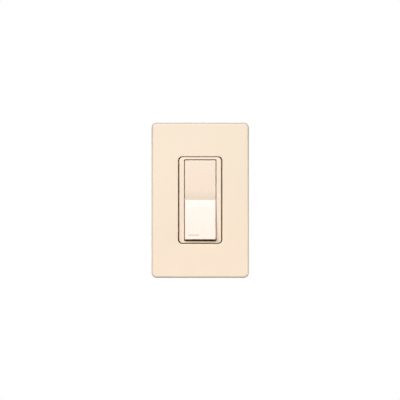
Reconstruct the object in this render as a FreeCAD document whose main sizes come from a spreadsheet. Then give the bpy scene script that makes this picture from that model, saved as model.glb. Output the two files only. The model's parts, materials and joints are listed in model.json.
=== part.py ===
import FreeCAD, Part
import math
import os
import re

import Sketcher
from FreeCAD import Placement, Rotation, Vector

# Wall switch with a rocking paddle and a screwless two-piece wall plate.
# X points right and Z up as the installed switch is seen; the front faces -Y and the finished
# wall surface is the plane Y = 0. "Near" and "far" are distances forward of the wall (-Y).

SIZES = {
    # Faceplate, the clip-on cover
    "plate_width": 74.7,
    "plate_height": 119.1,
    "plate_depth": 7.6,
    "plate_corner": 4.0,
    "plate_round": 1.8,
    "plate_front_wall": 1.8,
    "plate_side_wall": 1.5,
    "opening_side_gap": 0.85,
    "opening_end_gap": 0.5,
    "opening_corner": 3.2,
    "opening_round": 0.7,
    "hook_width": 16.0,
    "hook_reach": 0.6,
    "hook_near": 1.0,
    "hook_thickness": 1.2,
    "hook_spread": 36.0,
    "pry_width": 8.0,
    "pry_depth": 1.2,
    # Adapter plate, the screwed-on carrier of the faceplate
    "adapter_gap": 0.3,
    "adapter_thickness": 1.6,
    "skirt_wall": 1.6,
    "skirt_corner": 1.4,
    "skirt_near": 0.3,
    "collar_gap": 1.05,
    "collar_wall": 1.2,
    "collar_headroom": 0.1,
    "hook_clearance": 0.2,
    "rib_wall": 1.0,
    "rib_reach": 1.6,
    "rib_margin": 7.0,
    # Yoke, the steel mounting strap
    "strap": 1.2,
    "box_pitch": 83.34,
    "plate_pitch": 96.82,
    "yoke_end_margin": 4.8,
    "yoke_side": 1.4,
    "yoke_body_height": 72.0,
    "neck_width": 22.0,
    "ear_height": 9.2,
    "ear_round": 1.5,
    "score_width": 0.6,
    "score_bridge": 1.2,
    "yoke_window_width": 22.0,
    "yoke_window_height": 46.0,
    "slot_length": 7.2,
    "slot_width": 4.0,
    "tab_reach": 9.0,
    "tab_width": 7.2,
    "tab_height": 40.5,
    "ground_axis": 5.2,
    # Machine screws
    "thread_radius": 1.75,
    "thread_clearance": 0.05,
    "screw_hole_clearance": 0.15,
    "sink_clearance": 0.1,
    "flat_head_radius": 3.1,
    "flat_head_height": 1.35,
    "flat_head_sink": 0.05,
    "flat_screw_length": 12.7,
    "pan_head_radius": 3.1,
    "pan_head_height": 2.0,
    "pan_head_flat_radius": 1.9,
    "pan_head_edge_height": 0.9,
    "pan_head_dome": 1.9,
    "neck_radius": 1.5,
    "mounting_screw_length": 25.4,
    "retainer_size": 9.0,
    "retainer_thickness": 0.4,
    "head_clearance": 0.2,
    "terminal_thread_radius": 2.08,
    "binding_head_radius": 4.0,
    "binding_head_height": 2.3,
    "binding_head_flat_radius": 2.8,
    "binding_head_edge_height": 1.2,
    "binding_head_dome": 2.0,
    "binding_screw_length": 5.5,
    "wire_gap": 1.6,
    "ground_washer_radius": 4.2,
    "ground_washer_height": 0.8,
    "ground_hex_width": 6.35,
    "ground_head_height": 2.2,
    "ground_screw_length": 8.0,
    "drive_slot_width": 1.0,
    "drive_slot_depth": 0.9,
    "overcut": 1.0,
    "assembly_radius": 1.05,
    "assembly_clearance": 0.05,
    "assembly_hole_clearance": 0.2,
    "well_clearance": 0.15,
    "assembly_head_radius": 1.9,
    "assembly_head_height": 1.6,
    "assembly_slot_width": 0.5,
    "assembly_blind": 5.0,
    "assembly_tip_gap": 0.2,
    "assembly_inset": 4.0,
    "assembly_offset": 1.65,
    # Paddle and its rocking axis
    "paddle_width": 23.7,
    "paddle_length": 60.6,
    "paddle_tilt": 3.2,
    "paddle_round": 0.5,
    "face_distance": 5.1,
    "crease_ease": 6.5,
    "crease_drop": 0.3,
    "face_wall": 2.0,
    "skirt_side": 1.6,
    "skirt_end": 1.8,
    "skirt_back": 1.0,
    "trunnion_radius": 1.5,
    "trunnion_reach": 1.9,
    "trunnion_clearance": 0.05,
    "lug_radius": 1.8,
    "lug_clearance": 0.2,
    "web_wall": 2.4,
    "hub_radius": 3.6,
    "hub_reach": 9.0,
    "bore_radius": 2.3,
    "bore_bottom": 1.5,
    # Bezel frame around the paddle
    "paddle_gap": 0.5,
    "paddle_end_gap": 0.6,
    "bezel_side": 3.7,
    "bezel_end": 1.72,
    "paddle_proud": 0.3,
    "bezel_corner": 2.8,
    "bezel_round": 0.8,
    "window_corner": 0.8,
    "window_round": 0.4,
    # Plunger and its spring
    "plunger_slack": 0.1,
    "plunger_tip_gap": 0.1,
    "nose_radius": 1.2,
    "nose_length": 4.3,
    "plunger_seat": 4.0,
    "spring_wire": 0.45,
    "spring_radius": 1.775,
    "spring_turns": 5.0,
    # Contact bridge and contacts
    "bridge_axis": 14.4,
    "bridge_tilt": 4.8,
    "bridge_length": 24.0,
    "bridge_width": 5.0,
    "bridge_thickness": 1.0,
    "bridge_ear_radius": 0.6,
    "bridge_ear_clearance": 0.06,
    "bridge_ear_reach": 2.3,
    "contact_arm": 9.0,
    "contact_radius": 1.5,
    "contact_height": 0.9,
    "contact_gap": 0.04,
    "contact_crown": 3.0,
    "fixed_contact_height": 0.89,
    "rivet_radius": 0.8,
    "rivet_tail_radius": 1.2,
    "rivet_tail_height": 0.6,
    # Brass terminals and wire springs
    "terminal_thickness": 0.9,
    "terminal_height": 15.0,
    "terminal_width": 9.2,
    "terminal_front": 3.0,
    "terminal_screw_lead": 7.5,
    "terminal_clearance": 0.1,
    "support_reach": 4.0,
    "lug_inner": 3.65,
    "lug_half_height": 2.0,
    "lug_lead": 0.8,
    "fork_half_width": 3.0,
    "fork_top": 6.6,
    "wire_hole_radius": 1.4,
    "wire_hole_wall": 0.4,
    "wire_hole_spread": 5.8,
    "wire_path_clearance": 0.2,
    "leaf_thickness": 0.4,
    "leaf_foot": 2.0,
    "leaf_lean": 49.0,
    "leaf_margin": 0.5,
    "leaf_slit": 0.8,
    # Rear housing
    "housing_side": 0.35,
    "housing_height": 65.0,
    "wire_chamber": 4.6,
    "housing_corner": 2.0,
    "housing_floor": 2.0,
    "housing_round": 0.7,
    "cavity_width": 22.8,
    "cavity_height": 48.0,
    "cavity_corner": 1.0,
    "inner_wall": 1.4,
    "recess_height": 11.0,
    "recess_front": 2.0,
    "terminal_window_height": 9.5,
    "terminal_window_depth": 9.0,
    "support_height": 8.0,
    "release_length": 3.6,
    "release_width": 1.2,
    "gauge_length": 14.0,
    "gauge_width": 2.6,
    "gauge_depth": 0.4,
    "gauge_offset": 8.0,
    "screw_sink": 4.0,
    "tongue_support_size": 6.0,
}

# Sizes that follow from the driving ones.
DERIVED = {
    "pivot_front": "strap + lug_radius + lug_clearance",
    "bezel_front": "pivot_front + face_distance - paddle_proud",
    "plunger_tip": "pivot_front + bridge_axis - bridge_thickness / 2 - plunger_tip_gap",
    "swing_end": "(face_distance + paddle_length / 2 * sin(paddle_tilt)) / cos(paddle_tilt)",
    "window_width": "paddle_width + 2 * paddle_gap",
    "window_height": "paddle_length * cos(paddle_tilt) + 2 * swing_end * sin(paddle_tilt)"
                     " + 2 * paddle_end_gap",
    "bezel_width": "window_width + 2 * bezel_side",
    "bezel_height": "window_height + 2 * bezel_end",
    "opening_width": "bezel_width + 2 * opening_side_gap",
    "opening_height": "bezel_height + 2 * opening_end_gap",
    "cover_inner_width": "plate_width - 2 * plate_side_wall",
    "cover_inner_height": "plate_height - 2 * plate_side_wall",
    "adapter_width": "cover_inner_width - 2 * adapter_gap",
    "adapter_height": "cover_inner_height - 2 * adapter_gap",
    "adapter_corner": "plate_corner - plate_side_wall - adapter_gap",
    "adapter_front": "strap + adapter_thickness",
    "collar_width": "bezel_width + 2 * collar_gap",
    "collar_height": "bezel_height + 2 * collar_gap",
    "collar_front": "plate_depth - plate_front_wall - collar_headroom",
    "yoke_width": "bezel_width + 2 * yoke_side",
    "housing_width": "bezel_width + 2 * housing_side",
    "yoke_height": "plate_pitch + 2 * yoke_end_margin",
    "assembly_x": "window_width / 2 + assembly_offset",
    "assembly_z": "housing_height / 2 - assembly_inset",
    "terminal_inner": "cavity_width / 2 - terminal_clearance - terminal_thickness",
    "terminal_outer": "cavity_width / 2 - terminal_clearance",
    "wire_hole_x": "terminal_inner - wire_hole_wall - wire_hole_radius",
    "recess_inner": "cavity_width / 2 + inner_wall",
    "moving_contact_face": "bridge_thickness / 2 + contact_height",
    "fixed_contact_front": "bridge_axis - contact_crown + (contact_crown + contact_gap"
                           " + moving_contact_face + contact_arm * sin(bridge_tilt)) / cos(bridge_tilt)",
    "terminal_base": "fixed_contact_front + fixed_contact_height",
    "terminal_back": "terminal_base + terminal_thickness",
    "terminal_screw_axis": "terminal_base - terminal_screw_lead",
    "cavity_back": "terminal_back + wire_chamber",
    "housing_depth": "cavity_back + housing_floor",
}

FRONT = "XZ_Plane"
SIDE = "YZ_Plane"
TOP = "XY_Plane"
SIGNS = (1, -1)

doc = FreeCAD.newDocument("WallSwitch")
sheet = doc.addObject("Spreadsheet::Sheet", "Sizes")
pieces = []


def fill_sheet():
    """Write one row for each driving size: its name, its number and its alias."""
    for row, (name, number) in enumerate(SIZES.items(), start=1):
        sheet.set(f"A{row}", name)
        sheet.set(f"B{row}", str(number))
        sheet.setAlias(f"B{row}", name)
    doc.recompute()


def rule(formula):
    """Turn a formula in size names into an expression that reads the sheet."""
    def spell_out(match):
        name = match.group()
        if name in SIZES:
            return f"Sizes.{name}"
        if name in DERIVED:
            return f"({rule(DERIVED[name])})"
        return name

    return re.sub(r"[a-z_]+", spell_out, str(formula))


def number(formula):
    """Work out a formula now."""
    return float(sheet.evalExpression(rule(formula)))


# ---------------------------------------------------------------- outlines for sketches


def polygon(*corners):
    """Closed outline through the corners; a corner's third entry is the radius of the arc
    that reaches it, positive when the arc turns left on its way."""
    def draw(sketch):
        edges = []
        constraints = []
        rules = []
        first = sketch.GeometryCount
        points = [Vector(number(corner[0]), number(corner[1]), 0) for corner in corners]
        count = len(corners)
        for index in range(count):
            start = points[index]
            end = points[(index + 1) % count]
            reached = corners[(index + 1) % count]
            if len(reached) == 3:
                edges.append(arc_between(start, end, number(reached[2])))
            else:
                edges.append(Part.LineSegment(start, end))
        sketch.addGeometry(edges)
        for index, corner in enumerate(corners):
            geometry = first + index
            following = (index + 1) % count
            leaving = start_of(corners[following])
            arriving = 3 - leaving
            next_leaving = start_of(corners[(following + 1) % count])
            constraints.append(("Coincident", geometry, arriving, first + following, next_leaving))
            rules.append(None)
            constraints.append(("DistanceX", -1, 1, geometry, leaving, points[index].x))
            rules.append(corner[0])
            constraints.append(("DistanceY", -1, 1, geometry, leaving, points[index].y))
            rules.append(corner[1])
            if len(corners[following]) == 3:
                constraints.append(("Radius", geometry, abs(number(corners[following][2]))))
                rules.append(f"abs({corners[following][2]})")
        bind(sketch, constraints, rules)

    return draw


def start_of(corner):
    """Give the sketch's vertex number where the edge to this corner starts."""
    turns_right = len(corner) == 3 and number(corner[2]) < 0
    return 2 if turns_right else 1


def arc_between(start, end, radius):
    """Make the short arc between two points; a negative radius turns right."""
    if radius < 0:
        start, end = end, start
        radius = -radius
    chord = end - start
    height = math.sqrt(max(radius ** 2 - chord.Length ** 2 / 4, 0))
    left = Vector(-chord.y, chord.x, 0).normalize()
    centre = (start + end) * 0.5 + left * height
    first = math.atan2(start.y - centre.y, start.x - centre.x)
    last = math.atan2(end.y - centre.y, end.x - centre.x)
    return Part.ArcOfCircle(Part.Circle(centre, Vector(0, 0, 1), radius), first, last)


def bind(sketch, constraints, rules):
    """Add constraints and tie each one that has a formula to the sheet."""
    first = sketch.ConstraintCount
    sketch.addConstraint([Sketcher.Constraint(*constraint) for constraint in constraints])
    for index, formula in enumerate(rules):
        if formula is not None:
            sketch.setExpression(f"Constraints[{first + index}]", rule(formula))


def circle(radius, x="0", y="0"):
    """Circle of a radius about a centre."""
    def draw(sketch):
        index = sketch.GeometryCount
        centre = Vector(number(x), number(y), 0)
        sketch.addGeometry(Part.Circle(centre, Vector(0, 0, 1), number(radius)))
        constraints = [
            ("DistanceX", -1, 1, index, 3, centre.x),
            ("DistanceY", -1, 1, index, 3, centre.y),
            ("Radius", index, number(radius)),
        ]
        bind(sketch, constraints, [x, y, radius])

    return draw


def box(left, right, low, high):
    """Rectangle given by its four sides."""
    return polygon((left, low), (right, low), (right, high), (left, high))


def rectangle(width, height, x="0", y="0"):
    """Rectangle about a centre."""
    return box(f"{x} - ({width}) / 2", f"{x} + ({width}) / 2",
               f"{y} - ({height}) / 2", f"{y} + ({height}) / 2")


def rounded(width, height, radius):
    """Rectangle about the origin with round corners."""
    outer_x = f"({width}) / 2"
    outer_y = f"({height}) / 2"
    inner_x = f"({outer_x} - ({radius}))"
    inner_y = f"({outer_y} - ({radius}))"
    return polygon(
        (f"-{inner_x}", f"-{outer_y}", radius), (inner_x, f"-{outer_y}"),
        (outer_x, f"-{inner_y}", radius), (outer_x, inner_y),
        (inner_x, outer_y, radius), (f"-{inner_x}", outer_y),
        (f"-{outer_x}", inner_y, radius), (f"-{outer_x}", f"-{inner_y}"),
    )


def slot(length, width, y="0"):
    """Slot with round ends, long in the sketch's X."""
    radius = f"({width}) / 2"
    reach = f"({length}) / 2"
    shoulder = f"({reach} - {radius})"
    return polygon(
        (f"-{shoulder}", f"{y} - {radius}", radius), (shoulder, f"{y} - {radius}"),
        (reach, y, radius), (shoulder, f"{y} + {radius}", radius),
        (f"-{shoulder}", f"{y} + {radius}"), (f"-({reach})", y, radius),
    )


def four_fold(*quarter):
    """Outline from its upper right quarter, listed from the top down."""
    lower = [(x, f"-({y})") for x, y in reversed(quarter)]
    right = list(quarter) + lower
    left = [(f"-({x})", y) for x, y in reversed(right)]
    return polygon(*(right + left))


# ---------------------------------------------------------------- bodies and features


def new_piece(label, kind="PartDesign::Body"):
    """Start a sub-part under its own name."""
    piece = doc.addObject(kind, label)
    piece.Label = label
    pieces.append(piece)
    return piece


def sketch_on(body, name, plane, offset, outlines):
    """Draw outlines on one of the body's own planes, moved along its normal."""
    sketch = body.newObject("Sketcher::SketchObject", f"{name}Sketch")
    base = [item for item in body.Origin.OriginFeatures if item.Role == plane][0]
    sketch.AttachmentSupport = [(base, "")]
    sketch.MapMode = "FlatFace"
    sketch.setExpression("AttachmentOffset.Base.z", rule(offset))
    for draw in outlines:
        draw(sketch)
    return sketch


def pad(body, name, plane, near, far, *outlines):
    """Add material between two distances along the plane's normal."""
    feature = body.newObject("PartDesign::Pad", name)
    feature.Profile = sketch_on(body, name, plane, near, outlines)
    feature.setExpression("Length", rule(f"({far}) - ({near})"))
    doc.recompute()
    return feature


def cut(body, name, plane, near, far, *outlines):
    """Remove material between two distances; with no near it goes all the way back."""
    before = body.Shape.Volume
    feature = body.newObject("PartDesign::Pocket", name)
    feature.Profile = sketch_on(body, name, plane, far, outlines)
    if near is None:
        feature.Type = "ThroughAll"
    else:
        feature.setExpression("Length", rule(f"({far}) - ({near})"))
    doc.recompute()
    if body.Shape.Volume >= before:
        raise RuntimeError(f"{body.Label}: {name} removed nothing")
    return feature


def revolve(body, name, outline, axis="V_Axis"):
    """Turn an outline, drawn on the top plane, about the body's own Y axis."""
    feature = body.newObject("PartDesign::Revolution", name)
    sketch = sketch_on(body, name, TOP, "0", [outline])
    feature.Profile = sketch
    feature.ReferenceAxis = (sketch, [axis])
    feature.Angle = 360
    doc.recompute()
    return feature


def round_edges(body, name, radius, low, high):
    """Round every edge that lies inside a box given by two corners."""
    base = body.Tip
    slack = 0.02
    low = [number(value) - slack for value in low]
    high = [number(value) + slack for value in high]
    names = []
    for index, edge in enumerate(base.Shape.Edges, start=1):
        bounds = edge.BoundBox
        inside_low = bounds.XMin > low[0] and bounds.YMin > low[1] and bounds.ZMin > low[2]
        inside_high = bounds.XMax < high[0] and bounds.YMax < high[1] and bounds.ZMax < high[2]
        if inside_low and inside_high:
            names.append(f"Edge{index}")
    return fillet(body, name, base, names, radius)


def round_uprights(body, name, radius):
    """Round every straight edge that runs along Y."""
    base = body.Tip
    names = []
    for index, edge in enumerate(base.Shape.Edges, start=1):
        straight = isinstance(edge.Curve, Part.Line)
        if straight and abs(edge.tangentAt(edge.FirstParameter).y) > 0.999:
            names.append(f"Edge{index}")
    return fillet(body, name, base, names, radius)


def fillet(body, name, base, names, radius):
    """Round the named edges of a feature."""
    feature = body.newObject("PartDesign::Fillet", name)
    feature.Base = (base, names)
    feature.setExpression("Radius", rule(radius))
    doc.recompute()
    return feature


def place(piece, x="0", y="0", z="0", axis=None, angle="0"):
    """Tie a sub-part's placement to the sheet."""
    if axis is not None:
        piece.Placement = Placement(Vector(0, 0, 0), Rotation(axis, 1))
        piece.setExpression("Placement.Rotation.Angle", rule(angle))
    piece.setExpression("Placement.Base.x", rule(x))
    piece.setExpression("Placement.Base.y", rule(y))
    piece.setExpression("Placement.Base.z", rule(z))
    doc.recompute()


# ---------------------------------------------------------------- wall plate


def make_faceplate():
    """Clip-on cover: a shallow tray with the device opening, hooks and a pry notch."""
    body = new_piece("faceplate")
    pad(body, "Shell", FRONT, "0", "plate_depth", rounded("plate_width", "plate_height", "plate_corner"))
    round_edges(body, "RimRound", "plate_round",
                ("-plate_width / 2", "-plate_depth", "-plate_height / 2"),
                ("plate_width / 2", "-plate_depth", "plate_height / 2"))
    cut(body, "Hollow", FRONT, "0", "plate_depth - plate_front_wall",
        rounded("cover_inner_width", "cover_inner_height", "plate_corner - plate_side_wall"))
    cut(body, "Opening", FRONT, None, "plate_depth",
        rounded("opening_width", "opening_height", "opening_corner"))
    round_edges(body, "OpeningRound", "opening_round",
                ("-opening_width / 2", "-plate_depth", "-opening_height / 2"),
                ("opening_width / 2", "-plate_depth", "opening_height / 2"))
    hooks = []
    for side in SIGNS:
        for end in SIGNS:
            centre = f"{end} * (cover_inner_height - hook_reach) / 2"
            hooks.append(rectangle("hook_width", "hook_reach", f"{side} * hook_spread / 2", centre))
    pad(body, "Hooks", FRONT, "hook_near", "hook_near + hook_thickness", *hooks)
    cut(body, "PryNotch", FRONT, "0", "pry_depth",
        rectangle("pry_width", "2 * plate_side_wall", "0", "-cover_inner_height / 2 - plate_side_wall / 2"))


def make_adapter_plate():
    """Carrier plate screwed to the yoke: skirt, collar, ribs and clip pockets."""
    body = new_piece("adapter_plate")
    pad(body, "Base", FRONT, "strap", "adapter_front",
        rounded("adapter_width", "adapter_height", "adapter_corner"))
    pad(body, "Skirt", FRONT, "skirt_near", "strap",
        rounded("adapter_width", "adapter_height", "adapter_corner"),
        rounded("adapter_width - 2 * skirt_wall", "adapter_height - 2 * skirt_wall", "skirt_corner"))
    pad(body, "Collar", FRONT, "adapter_front", "collar_front",
        rounded("collar_width + 2 * collar_wall", "collar_height + 2 * collar_wall",
                "opening_corner + collar_wall"),
        rounded("collar_width", "collar_height", "opening_corner"))
    ribs = []
    for side in SIGNS:
        centre = f"{side} * (adapter_width / 2 - rib_margin)"
        ribs.append(rectangle("rib_wall", "adapter_height - 2 * rib_margin", centre))
    pad(body, "Ribs", FRONT, "adapter_front", "adapter_front + rib_reach", *ribs)
    cut(body, "Window", FRONT, None, "adapter_front",
        rounded("collar_width", "collar_height", "opening_corner"))
    heads = []
    shanks = []
    sinks = []
    for end in SIGNS:
        heads.append(slot("slot_length + 2 * (pan_head_radius - neck_radius)",
                          "2 * (pan_head_radius + head_clearance)", f"{end} * box_pitch / 2"))
        shanks.append(circle("thread_radius + screw_hole_clearance", "0", f"{end} * plate_pitch / 2"))
        sinks.append(circle("flat_head_radius + sink_clearance", "0", f"{end} * plate_pitch / 2"))
    cut(body, "HeadSlots", FRONT, None, "adapter_front", *heads)
    cut(body, "ScrewHoles", FRONT, None, "adapter_front", *shanks)
    sink = cut(body, "Countersinks", FRONT, "adapter_front - flat_head_height", "adapter_front", *sinks)
    sink.TaperAngle = -45
    doc.recompute()
    pockets = []
    for side in SIGNS:
        for end in SIGNS:
            centre = f"{end} * (adapter_height / 2 + adapter_gap - hook_reach / 2)"
            pockets.append(rectangle("hook_width + 2 * hook_clearance", "hook_reach + 2 * hook_clearance",
                                     f"{side} * hook_spread / 2", centre))
    cut(body, "ClipPockets", FRONT, "hook_near - hook_clearance",
        "hook_near + hook_thickness + hook_clearance", *pockets)


# ---------------------------------------------------------------- yoke and its fasteners


def make_yoke():
    """Steel strap with break-off ears, slots, window and the folded ground tab."""
    body = new_piece("yoke")
    ear_low = "yoke_height / 2 - ear_height"
    pad(body, "Strap", FRONT, "0", "strap", four_fold(
        ("yoke_width / 2", "yoke_height / 2"), ("yoke_width / 2", ear_low),
        ("neck_width / 2", ear_low), ("neck_width / 2", "yoke_body_height / 2"),
        ("yoke_width / 2", "yoke_body_height / 2")))
    round_uprights(body, "CornerRounds", "ear_round")
    cut(body, "Window", FRONT, None, "strap",
        rounded("yoke_window_width", "yoke_window_height", "ear_round"))
    openings = []
    for end in SIGNS:
        openings.append(slot("slot_length", "slot_width", f"{end} * box_pitch / 2"))
        openings.append(circle("thread_radius + thread_clearance", "0", f"{end} * plate_pitch / 2"))
        for side in SIGNS:
            openings.append(circle("assembly_radius + assembly_hole_clearance",
                                   f"{side} * assembly_x", f"{end} * assembly_z"))
            openings.append(rectangle("score_width", "ear_height - 2 * score_bridge",
                                      f"{side} * neck_width / 2",
                                      f"{end} * (yoke_height - ear_height) / 2"))
    cut(body, "Openings", FRONT, None, "strap", *openings)
    pad(body, "GroundTab", FRONT, "-tab_reach", "strap",
        box("-neck_width / 2 - strap", "-neck_width / 2",
            "-tab_height - tab_width / 2", "-tab_height + tab_width / 2"))
    cut(body, "GroundHole", SIDE, None, "-neck_width / 2",
        circle("terminal_thread_radius + thread_clearance", "ground_axis", "-tab_height"))


def turned_screw(label, corners, slot_width="drive_slot_width", slot_depth="drive_slot_depth",
                 head_front="0", head_radius="pan_head_radius"):
    """Turn a screw about its own Y axis, head towards -Y, and cut its drive slot."""
    body = new_piece(label)
    revolve(body, "Turned", polygon(*corners))
    if slot_depth is not None:
        cut(body, "DriveSlot", FRONT, f"{head_front} - {slot_depth}", head_front,
            rectangle(f"2 * {head_radius} + overcut", slot_width))
    return body


def make_mounting_screw(end, name):
    """Pan-head screw that holds the yoke to the wall box, with a fibre retainer behind."""
    tip = "mounting_screw_length - strap"
    screw = turned_screw(f"mounting_screw_{name}", (
        ("0", "-strap - pan_head_height"),
        ("pan_head_flat_radius", "-strap - pan_head_height"),
        ("pan_head_radius", "-strap - pan_head_edge_height", "pan_head_dome"),
        ("pan_head_radius", "-strap"),
        ("neck_radius", "-strap"),
        ("neck_radius", "retainer_thickness + thread_clearance"),
        ("thread_radius", "retainer_thickness + thread_clearance"),
        ("thread_radius", f"{tip} - thread_radius / 2"),
        ("thread_radius / 2", tip),
        ("0", tip),
    ), head_front="strap + pan_head_height")
    place(screw, z=f"{end} * box_pitch / 2")
    retainer = new_piece(f"screw_retainer_{name}")
    pad(retainer, "Washer", FRONT, "-retainer_thickness", "0",
        rounded("retainer_size", "retainer_size", "ear_round"), circle("neck_radius + thread_clearance"))
    place(retainer, z=f"{end} * box_pitch / 2")


def make_adapter_screw(end, name):
    """Countersunk screw that holds the adapter plate to the yoke."""
    face = "-(adapter_front - flat_head_sink)"
    tip = f"{face} + flat_screw_length"
    screw = turned_screw(f"adapter_screw_{name}", (
        ("0", face),
        ("flat_head_radius", face),
        ("thread_radius", f"{face} + flat_head_height"),
        ("thread_radius", f"{tip} - thread_radius / 2"),
        ("thread_radius / 2", tip),
        ("0", tip),
    ), head_front="adapter_front - flat_head_sink", head_radius="flat_head_radius")
    place(screw, z=f"{end} * plate_pitch / 2")


def make_ground_screw():
    """Hex washer-head screw in the ground tab, its head to the left."""
    body = new_piece("ground_screw")
    pad(body, "Washer", FRONT, "0", "ground_washer_height", circle("ground_washer_radius"))
    half = "ground_hex_width / 2"
    corner = "ground_hex_width / 2 / cos(30)"
    hexagon = [(f"{corner} * cos({60 * turn})", f"{corner} * sin({60 * turn})") for turn in range(6)]
    pad(body, "Hex", FRONT, "ground_washer_height", "ground_washer_height + ground_head_height",
        polygon(*hexagon))
    pad(body, "Shank", FRONT, "-ground_screw_length", "0", circle("terminal_thread_radius"))
    cut(body, "DriveSlot", FRONT, "ground_washer_height + ground_head_height - drive_slot_depth",
        "ground_washer_height + ground_head_height", rectangle(f"4 * {half}", "drive_slot_width"))
    place(body, "-neck_width / 2 - strap", "ground_axis", "-tab_height", Vector(0, 0, 1), "-90")


# ---------------------------------------------------------------- bezel and paddle


def make_bezel_frame():
    """Frame around the paddle with open bearings and blind bosses behind."""
    body = new_piece("bezel_frame")
    pad(body, "Frame", FRONT, "strap", "bezel_front",
        rounded("bezel_width", "bezel_height", "bezel_corner"))
    round_edges(body, "OuterRound", "bezel_round",
                ("-bezel_width / 2", "-bezel_front", "-bezel_height / 2"),
                ("bezel_width / 2", "-bezel_front", "bezel_height / 2"))
    cut(body, "Window", FRONT, None, "bezel_front",
        rounded("window_width", "window_height", "window_corner"))
    round_edges(body, "InnerRound", "window_round",
                ("-window_width / 2", "-bezel_front", "-window_height / 2"),
                ("window_width / 2", "-bezel_front", "window_height / 2"))
    bearing = "trunnion_radius + trunnion_clearance"
    reach = "window_width / 2 - paddle_gap + trunnion_reach + 2 * trunnion_clearance"
    cut(body, "Bearings", SIDE, f"-({reach})", reach, polygon(
        ("0", f"-({bearing})"), ("0", bearing), ("-pivot_front", bearing),
        (f"-pivot_front - ({bearing})", "0", bearing), ("-pivot_front", f"-({bearing})", bearing)))
    bosses = [circle("assembly_radius + assembly_clearance", f"{side} * assembly_x", f"{end} * assembly_z")
              for side in SIGNS for end in SIGNS]
    cut(body, "Bosses", FRONT, None, "strap + assembly_blind", *bosses)


def paddle_face(height, depth="0"):
    """Local Y of the paddle's upper face plane at a height, moved in by a depth."""
    return f"({depth} - (face_distance + ({height}) * sin(paddle_tilt)) / cos(paddle_tilt))"


def make_paddle():
    """Rocking paddle: a shallow V shell with trunnions, lugs and the plunger's hub."""
    body = new_piece("paddle")
    half = "paddle_length / 2"
    crease = f"{paddle_face('0')} + crease_drop"
    ease = "crease_ease ^ 2 / (2 * crease_drop)"
    start = paddle_face("crease_ease")
    pad(body, "Shell", SIDE, "-paddle_width / 2", "paddle_width / 2", polygon(
        ("-skirt_back", half), (paddle_face(half), half), (start, "crease_ease"),
        (crease, "0", ease), (start, "-crease_ease", ease),
        (paddle_face(half), f"-({half})"), ("-skirt_back", f"-({half})")))
    inner_half = "(paddle_length / 2 - skirt_end)"
    inner_x = "(paddle_width / 2 - skirt_side)"
    cut(body, "Hollow", SIDE, f"-{inner_x}", inner_x, polygon(
        ("skirt_back", inner_half), (paddle_face(inner_half, "face_wall"), inner_half),
        (paddle_face("0", "face_wall"), "0"),
        (paddle_face(inner_half, "face_wall"), f"-{inner_half}"), ("skirt_back", f"-{inner_half}")))
    round_edges(body, "FaceRound", "paddle_round",
                ("-paddle_width / 2", f"{paddle_face(half)}", f"-({half})"),
                ("paddle_width / 2", f"{crease}", half))
    pad(body, "Web", SIDE, f"-{inner_x} - skirt_side / 2", f"{inner_x} + skirt_side / 2",
        box("-face_distance + face_wall / 2", "trunnion_radius / 2", "-web_wall / 2", "web_wall / 2"))
    pad(body, "Hub", FRONT, "-hub_reach", "face_distance - face_wall / 2", circle("hub_radius"))
    for side in SIGNS:
        inner, outer = (inner_x, "paddle_width / 2")
        if side < 0:
            inner, outer = (f"-({outer})", f"-{inner}")
        pad(body, "Lug", SIDE, inner, outer, polygon(
            ("0", "lug_radius", "lug_radius"), ("-skirt_back - trunnion_radius", "lug_radius"),
            ("-skirt_back - trunnion_radius", "-lug_radius"), ("0", "-lug_radius"),
            ("lug_radius", "0", "lug_radius")))
    trunnion = "paddle_width / 2 + trunnion_reach"
    pad(body, "Trunnions", SIDE, f"-({trunnion})", trunnion, circle("trunnion_radius"))
    cut(body, "PlungerBore", FRONT, None, "bore_bottom", circle("bore_radius"))
    place(body, y="-pivot_front", axis=Vector(1, 0, 0), angle="-paddle_tilt")


def make_plunger():
    """Nylon plunger that slides in the paddle's hub and rocks the contact bridge."""
    body = new_piece("plunger")
    shoulder = "plunger_tip - nose_radius - nose_length"
    revolve(body, "Turned", polygon(
        ("0", "plunger_seat"), ("bore_radius - plunger_slack", "plunger_seat"),
        ("bore_radius - plunger_slack", shoulder), ("nose_radius", "plunger_tip - nose_radius"),
        ("nose_radius * sin(45)", "plunger_tip - nose_radius + nose_radius * cos(45)", "nose_radius"),
        ("0", "plunger_tip", "nose_radius")))
    place(body, y="-pivot_front", axis=Vector(1, 0, 0), angle="-paddle_tilt")


def make_plunger_spring():
    """Compression spring between the bottom of the hub's bore and the plunger."""
    body = new_piece("plunger_spring")
    start = "-bore_bottom + spring_wire / 2"
    feature = body.newObject("PartDesign::AdditiveHelix", "Coil")
    sketch = sketch_on(body, "Coil", TOP, "0", [circle("spring_wire / 2", "spring_radius", start)])
    feature.Profile = sketch
    feature.ReferenceAxis = (sketch, ["V_Axis"])
    feature.Mode = "height-turns-angle"
    feature.setExpression("Height", rule("bore_bottom + plunger_seat - spring_wire"))
    feature.setExpression("Turns", rule("spring_turns"))
    place(body, y="-pivot_front", axis=Vector(1, 0, 0), angle="-paddle_tilt")


# ---------------------------------------------------------------- contacts and terminals


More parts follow.
